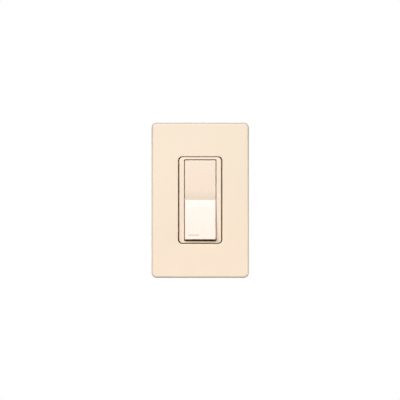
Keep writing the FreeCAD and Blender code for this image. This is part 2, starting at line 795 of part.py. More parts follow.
def make_contact_bridge():
    """Brass bridge that rocks on round ears, and the silver contact riveted to it."""
    body = new_piece("contact_bridge")
    half = "bridge_thickness / 2"
    pad(body, "Strip", FRONT, f"-({half})", half, rectangle("bridge_width", "bridge_length"))
    ear = "bridge_width / 2 + bridge_ear_reach"
    pad(body, "Ears", SIDE, f"-({ear})", ear, circle("bridge_ear_radius"))
    cut(body, "RivetHole", FRONT, None, half, circle("rivet_radius", "0", "-contact_arm"))
    place(body, y="bridge_axis", axis=Vector(1, 0, 0), angle="bridge_tilt")
    contact = new_piece("moving_contact")
    pad(contact, "Head", FRONT, "-moving_contact_face", f"-({half})",
        circle("contact_radius", "0", "-contact_arm"))
    pad(contact, "Rivet", FRONT, f"-({half})", half, circle("rivet_radius", "0", "-contact_arm"))
    pad(contact, "Tail", FRONT, half, f"{half} + rivet_tail_height",
        circle("rivet_tail_radius", "0", "-contact_arm"))
    place(contact, y="bridge_axis", axis=Vector(1, 0, 0), angle="bridge_tilt")


def make_fixed_contact():
    """Crowned silver contact riveted to the load terminal."""
    body = new_piece("fixed_contact")
    rise = "(contact_crown - sqrt(contact_crown ^ 2 - contact_radius ^ 2))"
    revolve(body, "Turned", polygon(
        ("0", "fixed_contact_front", "-contact_crown"),
        ("0", "terminal_back + rivet_tail_height"),
        ("rivet_tail_radius", "terminal_back + rivet_tail_height"),
        ("rivet_tail_radius", "terminal_back"), ("rivet_radius", "terminal_back"),
        ("rivet_radius", "terminal_base"), ("contact_radius", "terminal_base"),
        ("contact_radius", f"fixed_contact_front + {rise}")))
    place(body, z="-contact_arm")


def side_plate(body, end):
    """Upright plate of a terminal, behind the housing's side window."""
    middle = f"{end} * terminal_height"
    pad(body, "SidePlate", FRONT, "-terminal_back", "-terminal_front",
        box("terminal_inner", "terminal_outer",
            f"{middle} - terminal_width / 2", f"{middle} + terminal_width / 2"))
    cut(body, "ScrewHole", SIDE, None, "terminal_outer",
        circle("terminal_thread_radius + thread_clearance", "terminal_screw_axis", middle))


def wire_paths(end, radius):
    """Circles for the two wires that enter a terminal from behind."""
    return [circle(radius, "wire_hole_x", f"{end} * terminal_height + {side} * wire_hole_spread / 2")
            for side in SIGNS]


def make_common_terminal():
    """Upper brass terminal with the two forked lugs that carry the bridge."""
    body = new_piece("common_terminal")
    low = "terminal_height - terminal_width / 2"
    high = "terminal_height + terminal_width / 2"
    lug_outer = "(lug_inner + terminal_thickness)"
    pad(body, "Base", FRONT, "-terminal_back", "-terminal_base", polygon(
        ("terminal_outer", low), ("terminal_outer", high), (f"-{lug_outer}", high),
        (f"-{lug_outer}", "-lug_half_height"), (lug_outer, "-lug_half_height"), (lug_outer, low)))
    side_plate(body, 1)
    cut(body, "WirePaths", FRONT, None, "-terminal_base",
        *wire_paths(1, "wire_hole_radius + wire_path_clearance"))
    lugs = [box(f"{side} * lug_inner", f"{side} * {lug_outer}", "-lug_half_height", "lug_half_height")
            for side in SIGNS]
    pad(body, "Lugs", FRONT, "-terminal_base", "-bridge_axis + lug_lead", *lugs)
    notch = "bridge_ear_radius + bridge_ear_clearance"
    front = "bridge_axis - lug_lead - overcut"
    cut(body, "Notches", SIDE, f"-{lug_outer}", lug_outer, polygon(
        (front, f"-({notch})"), ("bridge_axis", f"-({notch})"),
        (f"bridge_axis + {notch}", "0", notch), ("bridge_axis", notch, notch), (front, notch)))


def make_load_terminal():
    """Lower brass terminal with the arm that holds the fixed contact."""
    body = new_piece("load_terminal")
    near = "-(terminal_height - terminal_width / 2)"
    away = "-(terminal_height + terminal_width / 2)"
    pad(body, "Base", FRONT, "-terminal_back", "-terminal_base", polygon(
        ("terminal_outer", near), ("fork_half_width", near), ("fork_half_width", "-fork_top"),
        ("-fork_half_width", "-fork_top"), ("-fork_half_width", away), ("terminal_outer", away)))
    side_plate(body, -1)
    cut(body, "WirePaths", FRONT, None, "-terminal_base",
        *wire_paths(-1, "wire_hole_radius + wire_path_clearance"))
    cut(body, "RivetHole", FRONT, None, "-terminal_base", circle("rivet_radius", "0", "-contact_arm"))


def make_binding_screw(end, name):
    """Brass terminal screw, its head to the right in the housing's side recess."""
    screw = turned_screw(f"{name}_binding_screw", (
        ("0", "-binding_head_height"),
        ("binding_head_flat_radius", "-binding_head_height"),
        ("binding_head_radius", "-binding_head_edge_height", "binding_head_dome"),
        ("binding_head_radius", "0"),
        ("terminal_thread_radius", "0"),
        ("terminal_thread_radius", "binding_screw_length"),
        ("0", "binding_screw_length"),
    ), head_front="binding_head_height", head_radius="binding_head_radius")
    place(screw, "terminal_outer + wire_gap", "terminal_screw_axis",
          f"{end} * terminal_height", Vector(0, 0, 1), "90")


def make_wire_spring(end, name):
    """Stainless leaf that grips the push-in wires against the terminal's plate."""
    body = new_piece(f"{name}_wire_spring")
    bend = "(wire_hole_x - wire_hole_radius - wire_path_clearance - leaf_thickness / 2)"
    low = f"{end} * terminal_height - terminal_width / 2 + leaf_margin"
    high = f"{end} * terminal_height + terminal_width / 2 - leaf_margin"
    tip_x = "(terminal_inner - leaf_margin)"
    tip_y = f"(terminal_base - ({tip_x} - {bend}) * tan(leaf_lean))"
    pad(body, "Leaf", TOP, low, high, polygon(
        (f"{bend} - leaf_foot", "terminal_base"),
        (f"{bend} - leaf_foot", "terminal_base - leaf_thickness"),
        (f"{bend} - leaf_thickness * tan(leaf_lean / 2)", "terminal_base - leaf_thickness"),
        (f"{tip_x} - leaf_thickness * sin(leaf_lean)", f"{tip_y} - leaf_thickness * cos(leaf_lean)"),
        (tip_x, tip_y),
        (bend, "terminal_base")))
    cut(body, "Slit", TOP, f"{end} * terminal_height - leaf_slit / 2",
        f"{end} * terminal_height + leaf_slit / 2",
        box(f"{bend} + leaf_thickness", "terminal_inner", f"{tip_y} - overcut", "terminal_base"))


# ---------------------------------------------------------------- housing


def make_rear_housing():
    """Deep insulating body with terminal recesses, wire holes and screw wells."""
    body = new_piece("rear_housing")
    pad(body, "Block", FRONT, "-housing_depth", "0",
        rounded("housing_width", "housing_height", "housing_corner"))
    cut(body, "Cavity", FRONT, "-cavity_back", "0",
        rounded("cavity_width", "cavity_height", "cavity_corner"))
    recesses = []
    windows = []
    supports = []
    for end in SIGNS:
        middle = f"{end} * terminal_height"
        for side in SIGNS:
            recesses.append(box(f"{side} * recess_inner", f"{side} * housing_width",
                                f"{middle} - recess_height / 2", f"{middle} + recess_height / 2"))
        windows.append(rectangle("terminal_window_depth", "terminal_window_height",
                                 "terminal_screw_axis", middle))
        supports.append(box("-support_reach", "wire_hole_x - 2 * wire_hole_radius",
                            f"{middle} - support_height / 2", f"{middle} + support_height / 2"))
    cut(body, "TerminalRecesses", FRONT, None, "-recess_front", *recesses)
    cut(body, "TerminalWindows", SIDE, "terminal_outer", "housing_width / 2", *windows)
    supports.append(rectangle("tongue_support_size", "tongue_support_size", "0", "lug_half_height"))
    pad(body, "TerminalSupports", FRONT, "-cavity_back", "-terminal_back", *supports)
    round_edges(body, "BackRound", "housing_round",
                ("-housing_width / 2", "housing_depth", "-housing_height / 2"),
                ("housing_width / 2", "housing_depth", "housing_height / 2"))
    holes = wire_paths(1, "wire_hole_radius") + wire_paths(-1, "wire_hole_radius")
    for end in SIGNS:
        holes.append(rectangle("release_width", "release_length",
                               "wire_hole_x - 2 * wire_hole_radius - release_width",
                               f"{end} * (terminal_height + support_height / 2 + release_length / 2)"))
    cut(body, "WireHoles", FRONT, None, "-cavity_back", *holes)
    wells = []
    shanks = []
    for side in SIGNS:
        for end in SIGNS:
            spot = (f"{side} * assembly_x", f"{end} * assembly_z")
            shanks.append(circle("assembly_radius + assembly_hole_clearance", *spot))
            wells.append(circle("assembly_head_radius + well_clearance", *spot))
    cut(body, "ScrewHoles", FRONT, None, "0", *shanks)
    cut(body, "ScrewWells", FRONT, None, "-(housing_depth - screw_sink)", *wells)
    cut(body, "StripGauge", FRONT, None, "-(housing_depth - gauge_depth)",
        rectangle("gauge_width", "gauge_length", "-gauge_offset"))


def make_assembly_screw(side, end, index):
    """Screw from behind that clamps housing, yoke and bezel together."""
    seat = "(housing_depth - screw_sink)"
    tip = "-(strap + assembly_blind - assembly_tip_gap)"
    body = turned_screw(f"assembly_screw_{index}", (
        ("0", tip), ("assembly_radius * 0.5", tip),
        ("assembly_radius", f"{tip} + assembly_radius"), ("assembly_radius", seat),
        ("assembly_head_radius", seat), ("assembly_head_radius", f"{seat} + assembly_head_height"),
        ("0", f"{seat} + assembly_head_height"),
    ), slot_depth=None)
    cut(body, "DriveSlot", FRONT, None, f"-({seat} + assembly_head_height / 2)",
        rectangle("2 * assembly_head_radius + overcut", "assembly_slot_width"))
    place(body, f"{side} * assembly_x", "0", f"{end} * assembly_z")


# ---------------------------------------------------------------- build, check and write


def build_all():
    """Build every sub-part in the order it would be put together."""
    fill_sheet()
    make_faceplate()
    make_adapter_plate()
    make_yoke()
    for end, name in ((1, "upper"), (-1, "lower")):
        make_mounting_screw(end, name)
        make_adapter_screw(end, name)
    make_ground_screw()
    make_bezel_frame()
    make_paddle()
    make_plunger()
    make_plunger_spring()
    make_contact_bridge()
    make_fixed_contact()
    make_common_terminal()
    make_load_terminal()
    for end, name in ((1, "common"), (-1, "load")):
        make_binding_screw(end, name)
        make_wire_spring(end, name)
    make_rear_housing()
    corners = [(side, end) for side in SIGNS for end in SIGNS]
    for index, (side, end) in enumerate(corners, start=1):
        make_assembly_screw(side, end, index)
    doc.recompute()


def check_all():
    """Stop on any failed object or shape before a file is written."""
    for item in doc.Objects:
        if "Invalid" in item.State or "Error" in item.State:
            raise RuntimeError(f"{item.Label} failed: {item.State}")
    for piece in pieces:
        shape = piece.Shape
        if shape.isNull() or not shape.isValid() or len(shape.Solids) != 1:
            raise RuntimeError(f"{piece.Label} is not one valid solid")
        print(f"{piece.Label}: {shape.Volume:.1f} mm3")


def write_all():
    """Write each sub-part to its own STEP file."""
    os.makedirs("parts", exist_ok=True)
    for piece in pieces:
        piece.Shape.exportStep(f"parts/{piece.Label}.step")


build_all()
check_all()
write_all()
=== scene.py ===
"""Looks of a wall switch with a rocking paddle and a screwless wall plate.

The CAD frame holds every piece at its real size. This script dresses those pieces with
procedural finishes, models the fasteners, spring, washers and printed bar that the frame only
holds as plain solids, and sets up a pale studio.
"""

import json
import logging
import math
from dataclasses import dataclass, field
from enum import Enum
from typing import Sequence

import bmesh
import bpy
from mathutils import Matrix, Vector


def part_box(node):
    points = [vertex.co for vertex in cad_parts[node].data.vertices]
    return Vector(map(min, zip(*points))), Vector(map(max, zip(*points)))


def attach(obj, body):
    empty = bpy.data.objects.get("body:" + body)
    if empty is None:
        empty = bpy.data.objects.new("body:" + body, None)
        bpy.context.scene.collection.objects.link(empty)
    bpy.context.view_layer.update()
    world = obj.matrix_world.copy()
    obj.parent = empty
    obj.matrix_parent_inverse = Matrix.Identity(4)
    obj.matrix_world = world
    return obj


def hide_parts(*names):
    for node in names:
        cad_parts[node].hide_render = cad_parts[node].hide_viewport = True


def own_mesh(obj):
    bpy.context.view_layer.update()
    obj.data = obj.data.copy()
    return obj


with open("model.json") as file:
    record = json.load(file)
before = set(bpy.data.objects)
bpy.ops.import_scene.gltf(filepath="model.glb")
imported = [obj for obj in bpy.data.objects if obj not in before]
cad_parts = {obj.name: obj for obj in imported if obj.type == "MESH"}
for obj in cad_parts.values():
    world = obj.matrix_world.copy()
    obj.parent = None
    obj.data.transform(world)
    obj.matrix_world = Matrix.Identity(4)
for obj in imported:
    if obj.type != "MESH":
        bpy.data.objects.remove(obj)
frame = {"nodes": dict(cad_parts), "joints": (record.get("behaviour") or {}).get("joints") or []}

log = logging.getLogger("wall_switch")

MM = 0.001
FULL_TURN = math.tau
TOUCHING = 1e-7
ON_PLANE = 1e-8
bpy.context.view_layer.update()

Socket = bpy.types.NodeSocket
Mesh = bmesh.types.BMesh
Vec = Sequence[float]
Colour = tuple[float, float, float]
Sizes = tuple[float, float, float]
Outline = list[tuple[float, float]]


# ---------------- node graphs


class Graph:
    """A material under construction, with short calls for the nodes that the finishes use."""

    mix_first = 6
    mix_second = 7
    mix_result = 2
    noise_low = 0.3
    noise_high = 0.7

    def __init__(self, name: str) -> None:
        """Start an empty material that ends in one principled shader.

        Args:
            name: the finish's name.
        """
        self.material = bpy.data.materials.new(finish_name(name))
        self.material.use_nodes = True
        self.tree = self.material.node_tree
        self.tree.nodes.clear()
        output = self.add("ShaderNodeOutputMaterial")
        self.shader = self.add("ShaderNodeBsdfPrincipled")
        self.join(self.shader.outputs["BSDF"], output.inputs["Surface"])
        self.place = self.add("ShaderNodeTexCoord").outputs["Object"]

    def add(self, kind: str) -> bpy.types.Node:
        """Add a node of a kind and return it."""
        return self.tree.nodes.new(kind)

    def join(self, source: Socket, target: Socket) -> None:
        """Link an output to an input."""
        self.tree.links.new(source, target)

    def set(self, **values: float | Vec) -> None:
        """Set plain values on the shader's own sockets.

        Args:
            values: socket names in lower case with underscores, and their values.
        """
        for name, value in values.items():
            socket = name.replace("_", " ").title().replace("Ior", "IOR")
            self.shader.inputs[socket].default_value = value

    def stretched(self, scale: Vec) -> Socket:
        """Object coordinates scaled by axis.

        Args:
            scale: repeats per metre along X, Y and Z.

        Returns:
            The socket that carries the scaled coordinates.
        """
        mapping = self.add("ShaderNodeMapping")
        mapping.inputs["Scale"].default_value = scale
        self.join(self.place, mapping.inputs["Vector"])
        return mapping.outputs["Vector"]

    def noise(self, size: float | Vec, detail: float = 2.0, rough: float = 0.5) -> Socket:
        """Soft noise with features of a size.

        Args:
            size: feature size in metres, one for all axes or one for each.
            detail: octaves of finer noise.
            rough: how much the finer octaves count.

        Returns:
            The socket that carries the noise, from 0 to 1.
        """
        sizes = (size, size, size) if isinstance(size, float) else size
        noise = self.add("ShaderNodeTexNoise")
        noise.inputs["Scale"].default_value = 1.0
        noise.inputs["Detail"].default_value = detail
        noise.inputs["Roughness"].default_value = rough
        self.join(self.stretched([1 / value for value in sizes]), noise.inputs["Vector"])
        return noise.outputs["Fac"]

    def cells(self, size: float) -> Socket:
        """Distance to the nearest of scattered points, about a size apart.

        Args:
            size: mean distance between points, in metres.

        Returns:
            The socket that carries the distance, from 0 to about 1.
        """
        cells = self.add("ShaderNodeTexVoronoi")
        cells.inputs["Scale"].default_value = 1.0
        self.join(self.stretched([1 / size] * 3), cells.inputs["Vector"])
        return cells.outputs["Distance"]

    def range(self, value: Socket, low: float, high: float, to_low: float, to_high: float) -> Socket:
        """Map a value's range to another, clamped at both ends.

        Args:
            value: the value to map.
            low: the value that gives to_low.
            high: the value that gives to_high.
            to_low: result at low.
            to_high: result at high.

        Returns:
            The socket that carries the mapped value.
        """
        node = self.add("ShaderNodeMapRange")
        limits = {"From Min": low, "From Max": high, "To Min": to_low, "To Max": to_high}
        for name, number in limits.items():
            node.inputs[name].default_value = number
        self.join(value, node.inputs["Value"])
        return node.outputs["Result"]

    def spread(self, noise: Socket, to_low: float, to_high: float) -> Socket:
        """Map the band that holds most of a noise to a range.

        Args:
            noise: the noise to map.
            to_low: result at the band's low end.
            to_high: result at its high end.

        Returns:
            The socket that carries the mapped value.
        """
        return self.range(noise, self.noise_low, self.noise_high, to_low, to_high)

    def blend(self, factor: Socket, first: Vec | Socket, second: Vec) -> Socket:
        """Blend two colours.

        Args:
            factor: 0 for the first colour and 1 for the second.
            first: a colour or a socket that carries one.
            second: a colour.

        Returns:
            The socket that carries the blended colour.
        """
        mix = self.add("ShaderNodeMix")
        mix.data_type = "RGBA"
        self.join(factor, mix.inputs["Factor"])
        if isinstance(first, Socket):
            self.join(first, mix.inputs[self.mix_first])
        else:
            mix.inputs[self.mix_first].default_value = (*first, 1)
        mix.inputs[self.mix_second].default_value = (*second, 1)
        return mix.outputs[self.mix_result]

    def rim_mask(self, half_width: float, half_height: float, corner: float, reach: float,
                 back: float, front: float) -> Socket:
        """1 along the front edge of a round-cornered plate, fading inwards and down its sides.

        Args:
            half_width: half the plate's size along X.
            half_height: half its size along Z.
            corner: radius of its corners.
            reach: how far inwards the mask fades out.
            back: Y where the mask has gone from the side walls.
            front: Y where it is full.

        Returns:
            The socket that carries the mask.
        """
        previous = self.place
        inner = (half_width - corner, 0.0, half_height - corner)
        for operation, operand in (("ABSOLUTE", None), ("MULTIPLY", (1, 0, 1)), ("SUBTRACT", inner),
                                   ("MAXIMUM", (0, 0, 0)), ("LENGTH", None)):
            step = self.add("ShaderNodeVectorMath")
            step.operation = operation
            self.join(previous, step.inputs[0])
            if operand is not None:
                step.inputs[1].default_value = operand
            previous = step.outputs["Value" if operation == "LENGTH" else "Vector"]
        inwards = self.range(previous, corner - reach, corner, 0, 1)
        return self.product(inwards, self.range(self.axis("Y"), front, back, 1, 0))

    def axis(self, name: str) -> Socket:
        """Object coordinate along X, Y or Z."""
        split = self.add("ShaderNodeSeparateXYZ")
        self.join(self.place, split.inputs["Vector"])
        return split.outputs[name]

    def maths(self, operation: str, first: Socket, second: Socket | float) -> Socket:
        """Combine two values.

        Args:
            operation: the Math node's operation.
            first: the first value.
            second: the second value, a socket or a number.

        Returns:
            The socket that carries the result.
        """
        node = self.add("ShaderNodeMath")
        node.operation = operation
        self.join(first, node.inputs[0])
        if isinstance(second, float):
            node.inputs[1].default_value = second
        else:
            self.join(second, node.inputs[1])
        return node.outputs[0]

    def product(self, first: Socket, second: Socket) -> Socket:
        """Product of two values."""
        return self.maths("MULTIPLY", first, second)

    def mean(self, first: Socket, second: Socket, share: float) -> Socket:
        """Weighted mean of two values.

        Args:
            first: the first value.
            second: the second value.
            share: the second value's weight.

        Returns:
            The socket that carries the mean.
        """
        return self.maths("ADD", self.maths("MULTIPLY", first, 1 - share),
                          self.maths("MULTIPLY", second, share))

    def bump(self, height: Socket, depth: float, below: Socket | None = None) -> Socket:
        """Raise fine relief.

        Args:
            height: relief from 0 to 1.
            depth: height of the relief in metres.
            below: a coarser relief's normal that this one lies on.

        Returns:
            The socket that carries the bent normal.
        """
        bump = self.add("ShaderNodeBump")
        bump.inputs["Strength"].default_value = 1.0
        bump.inputs["Distance"].default_value = depth
        self.join(height, bump.inputs["Height"])
        if below is not None:
            self.join(below, bump.inputs["Normal"])
        return bump.outputs["Normal"]

    def colour(self, source: Socket) -> None:
        """Give the shader its base colour."""
        self.join(source, self.shader.inputs["Base Color"])

    def roughness(self, source: Socket) -> None:
        """Give the shader its roughness."""
        self.join(source, self.shader.inputs["Roughness"])

    def normal(self, source: Socket) -> None:
        """Give the shader its normal."""
        self.join(source, self.shader.inputs["Normal"])


# ---------------- finishes


def finish_name(name: str) -> str:
    """Name of the material that a finish makes."""
    return f"{name}_finish"


@dataclass(frozen=True)
class PaintedRimShade:
    """Painted shade on a wall plate's rounded front edge, strongest along its top, standing in for the
    edge's shading.
    """

    colour: Colour
    corner: float = 4 * MM
    reach: float = 1.7 * MM
    back: float = -4 * MM
    front: float = -6 * MM
    # thin is the painted shade's share low on the plate; it reaches full strength near the top edge.
    thin: float = 0.45
    low_height: float = 0.5
    full_height: float = 0.95

    def paint_over(self, graph: Graph, tint: Socket) -> Socket:
        """Lay the painted edge shade over a tint.

        Args:
            graph: the material.
            tint: the colour without the painted shade.

        Returns:
            The socket that carries the colour with the painted shade.
        """
        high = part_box("faceplate")[1]
        rim = graph.rim_mask(high.x, high.z, self.corner, self.reach, self.back, self.front)
        # Painted shade along the edge: weaker low on the plate and full near its top edge, darkening the
        # edge as its shading would.
        height_strength = graph.range(graph.axis("Z"), high.z * self.low_height, high.z * self.full_height,
                              self.thin, 1.0)
        return graph.blend(graph.product(rim, height_strength), tint, self.colour)


@dataclass(frozen=True)
class PaintedShadeBand:
    """Painted shade band that starts at a height and fades out upwards or downwards from it."""

    colour: Colour
    start: float = 0.0
    end: float = 9 * MM
    half_width: float = 11.9 * MM
    side_fade: float = 1 * MM
    start_fade: float = 0.1 * MM

    def paint_over(self, graph: Graph, tint: Socket) -> Socket:
        """Lay the painted shade band over a tint.

        Args:
            graph: the material.
            tint: the colour without the painted shade.

        Returns:
            The socket that carries the colour with the painted shade.
        """
        # Painted shade: full at the start height, fading out towards the end height and past the sides.
        height = graph.axis("Z")
        step = math.copysign(self.start_fade, self.end - self.start)
        fade = graph.range(height, self.start, self.end, 1, 0)
        edge = graph.range(height, self.start - step, self.start + step, 0, 1)
        aside = graph.maths("ABSOLUTE", graph.axis("X"), 0.0)
        inside = graph.range(aside, self.half_width, self.half_width + self.side_fade, 1, 0)
        return graph.blend(graph.product(graph.product(fade, edge), inside), tint, self.colour)


@dataclass(frozen=True)
class MouldedPlastic:
    """Injection-moulded plastic with mould grain, flow tone and rubbed patches, and optional painted
    shade laid over its colour.
    """

    name: str
    light: Colour
    dark: Colour
    gloss: float
    rubbed: float
    grain: float = 0.35 * MM
    grain_depth: float = 0.003 * MM
    ripple: float = 9 * MM
    ripple_depth: float = 0.012 * MM
    flow: Sizes = (26 * MM, 26 * MM, 60 * MM)
    flow_share: float = 0.2
    patch: float = 14 * MM
    ior: float = 1.5
    glow: float = 0.0
    glow_radius: Sizes = (1.0, 0.8, 0.6)
    glow_depth: float = 0.6 * MM
    # Optional painted shade: along a plate's rounded edge, and in a band that fades from a height.
    rim_shade: PaintedRimShade | None = None
    band_shade: PaintedShadeBand | None = None

    def build(self) -> bpy.types.Material:
        """Make the material."""
        graph = Graph(self.name)
        graph.colour(self.tint(graph))
        graph.roughness(graph.spread(graph.noise(self.patch, 4.0, 0.6), self.gloss, self.rubbed))
        ripple = graph.bump(graph.noise(self.ripple, 1.0), self.ripple_depth)
        graph.normal(graph.bump(graph.noise(self.grain, 2.0), self.grain_depth, ripple))
        graph.set(ior=self.ior)
        if self.glow:
            graph.set(subsurface_weight=self.glow, subsurface_radius=self.glow_radius,
                      subsurface_scale=self.glow_depth)
        return graph.material

    def tint(self, graph: Graph) -> Socket:
        """Blend the plastic's two tones and lay the painted shade layers over them.

        Args:
            graph: the material.

        Returns:
            The socket that carries the colour.
        """
        shade = graph.spread(graph.noise(self.flow, 3.0, 0.55), 0, 1)
        # Painted shade: with the edge's painted shade, the plate also takes a top-to-bottom gradient,
        # its darker tone towards the top and lighter towards the bottom, standing in for uneven light;
        # the flow noise keeps a small share.
        if self.rim_shade:
            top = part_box("faceplate")[1].z
            painted_top_shade = graph.range(graph.axis("Z"), -top, top, 0, 1)
            shade = graph.mean(painted_top_shade, shade, self.flow_share)
        tint = graph.blend(shade, self.light, self.dark)
        for layer in (self.rim_shade, self.band_shade):
            if layer:
                tint = layer.paint_over(graph, tint)
        return tint


@dataclass(frozen=True)
class RolledMetal:
    """Sheet or wire metal with rolling lines, dull patches and fine pits, and optional painted shade on
    its front face.
    """

    name: str
    bright: Colour
    dull: Colour
    polish: float = 0.22
    worn: float = 0.42
    cloud: float = 4 * MM
    line: Sizes = (0.12 * MM, 0.12 * MM, 5 * MM)
    line_depth: float = 0.0015 * MM
    pit: float = 0.5 * MM
    pit_edge: float = 0.35
    # Optional painted shade: a near-black colour on the front face, so gaps in front of it read dark.
    gap_shade: Colour | None = None
    gap_shade_front: float = -1.15 * MM
    gap_shade_fade: float = 0.1 * MM

    def build(self) -> bpy.types.Material:
        """Make the material."""
        graph = Graph(self.name)
        cloud = graph.noise(self.cloud, 5.0, 0.62)
        tint = graph.blend(graph.range(cloud, 0.35, 0.7, 0, 1), self.bright, self.dull)
        # Painted shade on the front face, fading out just behind it.
        if self.gap_shade:
            back = self.gap_shade_front + self.gap_shade_fade
            mask = graph.range(graph.axis("Y"), self.gap_shade_front, back, 1, 0)
            tint = graph.blend(mask, tint, self.gap_shade)
        graph.colour(tint)
        lines = graph.noise(self.line, 3.0, 0.6)
        graph.roughness(graph.range(lines, 0.25, 0.75, self.polish, self.worn))
        pits = graph.bump(graph.range(graph.cells(self.pit), 0.0, self.pit_edge, 0, 1), self.line_depth)
        graph.normal(graph.bump(lines, self.line_depth, pits))
        graph.set(metallic=1.0)
        return graph.material


@dataclass(frozen=True)
class DyedPlating:
    """Coloured conversion coating over plated steel, thin on high spots."""

    name: str
    dye: Colour
    thin: Colour
    polish: float = 0.24
    worn: float = 0.46
    cloud: float = 1.6 * MM
    grain: float = 0.2 * MM
    grain_depth: float = 0.002 * MM
    metallic: float = 0.75

    def build(self) -> bpy.types.Material:
        """Make the material."""
        graph = Graph(self.name)
        cloud = graph.noise(self.cloud, 5.0, 0.65)
        graph.colour(graph.blend(graph.range(cloud, 0.45, 0.75, 0, 1), self.dye, self.thin))
        graph.roughness(graph.spread(cloud, self.polish, self.worn))
        graph.normal(graph.bump(graph.noise(self.grain, 2.0), self.grain_depth))
        graph.set(metallic=self.metallic)
        return graph.material


@dataclass(frozen=True)
class PressedFibre:
    """Vulcanised fibre: layered, slightly fuzzy and matt."""

    name: str
    light: Colour
    dark: Colour
    strand: Sizes = (0.1 * MM, 0.1 * MM, 1.4 * MM)
    layer: Sizes = (2 * MM, 0.08 * MM, 2 * MM)
    pressed: float = 0.62
    fuzzy: float = 0.85
    strand_depth: float = 0.01 * MM
    ior: float = 1.45

    def build(self) -> bpy.types.Material:
        """Make the material."""
        graph = Graph(self.name)
        strands = graph.noise(self.strand, 4.0, 0.7)
        layers = graph.noise(self.layer, 2.0)
        tint = graph.blend(graph.spread(strands, 0, 1), self.light, self.dark)
        graph.colour(graph.blend(graph.range(layers, 0.5, 0.8, 0, 0.5), tint, self.dark))
        graph.roughness(graph.range(strands, 0.2, 0.8, self.pressed, self.fuzzy))
        graph.normal(graph.bump(strands, self.strand_depth))
        graph.set(ior=self.ior)
        return graph.material


@dataclass(frozen=True)
class PadInk:
    """Thin printed ink with a fine screen texture."""

    name: str
    body: Colour
    worn: Colour
    speckle: float = 0.18 * MM
    speckle_depth: float = 0.002 * MM
    smooth: float = 0.4
    dry: float = 0.6

    def build(self) -> bpy.types.Material:
        """Make the material."""
        graph = Graph(self.name)
        speckle = graph.noise(self.speckle, 3.0, 0.7)
        graph.colour(graph.blend(graph.range(speckle, 0.45, 0.8, 0, 1), self.body, self.worn))
        graph.roughness(graph.range(speckle, 0.2, 0.8, self.smooth, self.dry))
        graph.normal(graph.bump(speckle, self.speckle_depth))
        return graph.material


@dataclass(frozen=True)
class PaleBoard:
    """Smooth painted board for the studio floor."""

    name: str
    shade: Colour
    shine: float
    cloud: float = 120 * MM
    darker: float = 0.97
    smooth: float = 0.7
    matt: float = 0.8

    def build(self) -> bpy.types.Material:
        """Make the material."""
        graph = Graph(self.name)
        cloud = graph.noise(self.cloud, 3.0)
        graph.colour(graph.blend(cloud, self.shade, [channel * self.darker for channel in self.shade]))
        graph.roughness(graph.spread(cloud, self.smooth, self.matt))
        graph.set(emission_color=(1, 1, 1, 1), emission_strength=self.shine)
        return graph.material


Finish = MouldedPlastic | RolledMetal | DyedPlating | PressedFibre | PadInk | PaleBoard


# The cover carries painted shade along its edge and a painted gradient, darker towards its top.
COVER = MouldedPlastic("ivory_cover", (0.892, 0.724, 0.502), (0.806, 0.682, 0.452), 0.34, 0.42,
                       rim_shade=PaintedRimShade((0.50, 0.455, 0.355)))
# The device frame carries a painted shadow under the paddle's lower end.
DEVICE = MouldedPlastic("ivory_device", (0.880, 0.722, 0.512), (0.868, 0.710, 0.500), 0.24, 0.29,
                        band_shade=PaintedShadeBand((0.58, 0.465, 0.235), -30.0 * MM, -35.0 * MM))
# The paddle carries painted shade just above its crease.
PADDLE = MouldedPlastic("ivory_paddle", (0.880, 0.718, 0.512), (0.868, 0.706, 0.500), 0.24, 0.29,
                        band_shade=PaintedShadeBand((0.792, 0.664, 0.462)))
CARRIER = MouldedPlastic("ivory_carrier", (0.80, 0.64, 0.47), (0.77, 0.61, 0.44), 0.5, 0.62,
                         grain=0.2 * MM, grain_depth=0.006 * MM)
HOUSING = MouldedPlastic("housing_plastic", (0.030, 0.030, 0.033), (0.020, 0.020, 0.023), 0.42, 0.58,
                         grain=0.22 * MM, grain_depth=0.012 * MM)
NYLON = MouldedPlastic("nylon", (0.80, 0.78, 0.70), (0.74, 0.71, 0.62), 0.38, 0.5, glow=0.3)
ZINC = RolledMetal("zinc_steel", (0.63, 0.64, 0.65), (0.47, 0.48, 0.48))
# The strap's front face is painted near-black: painted shade that darkens the gaps seen around the
# bezel.
STRAP_STEEL = RolledMetal("zinc_strap", (0.63, 0.64, 0.65), (0.47, 0.48, 0.48),
                          gap_shade=(0.085, 0.066, 0.042))
BRASS = RolledMetal("brass", (0.86, 0.62, 0.27), (0.62, 0.40, 0.15), 0.2, 0.4,
                    line=(0.3 * MM, 0.3 * MM, 0.3 * MM))
SILVER = RolledMetal("silver", (0.90, 0.88, 0.84), (0.72, 0.69, 0.62), 0.18, 0.34)
STAINLESS = RolledMetal("stainless", (0.66, 0.65, 0.63), (0.52, 0.51, 0.50), 0.16, 0.3)
GREEN = DyedPlating("green_steel", (0.012, 0.16, 0.045), (0.10, 0.34, 0.16))
FIBRE = PressedFibre("red_fibre", (0.24, 0.040, 0.022), (0.13, 0.020, 0.012))
INK = PadInk("pad_ink", (0.58, 0.51, 0.43), (0.68, 0.60, 0.50))
BOARD = PaleBoard("pale_board", (0.88, 0.865, 0.81), 0.22)


def material_of(finish: Finish) -> bpy.types.Material:
    """Return a finish's material, built the first time it is asked for.

    Args:
        finish: one of the finishes.

    Returns:
        The Blender material.
    """
    return bpy.data.materials.get(finish_name(finish.name)) or finish.build()


def dress(node: str, finish: Finish) -> None:
    """Give a CAD piece its finish.

    Args:
        node: the CAD node's name.
        finish: the finish it gets.
    """
    piece = frame["nodes"][node]
    for material_slot in piece.material_slots:
        material_slot.material = material_of(finish)
    log.info("dressed %s as %s", node, finish.name)


# ---------------- mesh making


class Drive(Enum):
    """Recess in a screw's head."""

    SLOT = "slot"
    CROSS = "cross"
    COMBINATION = "combination"


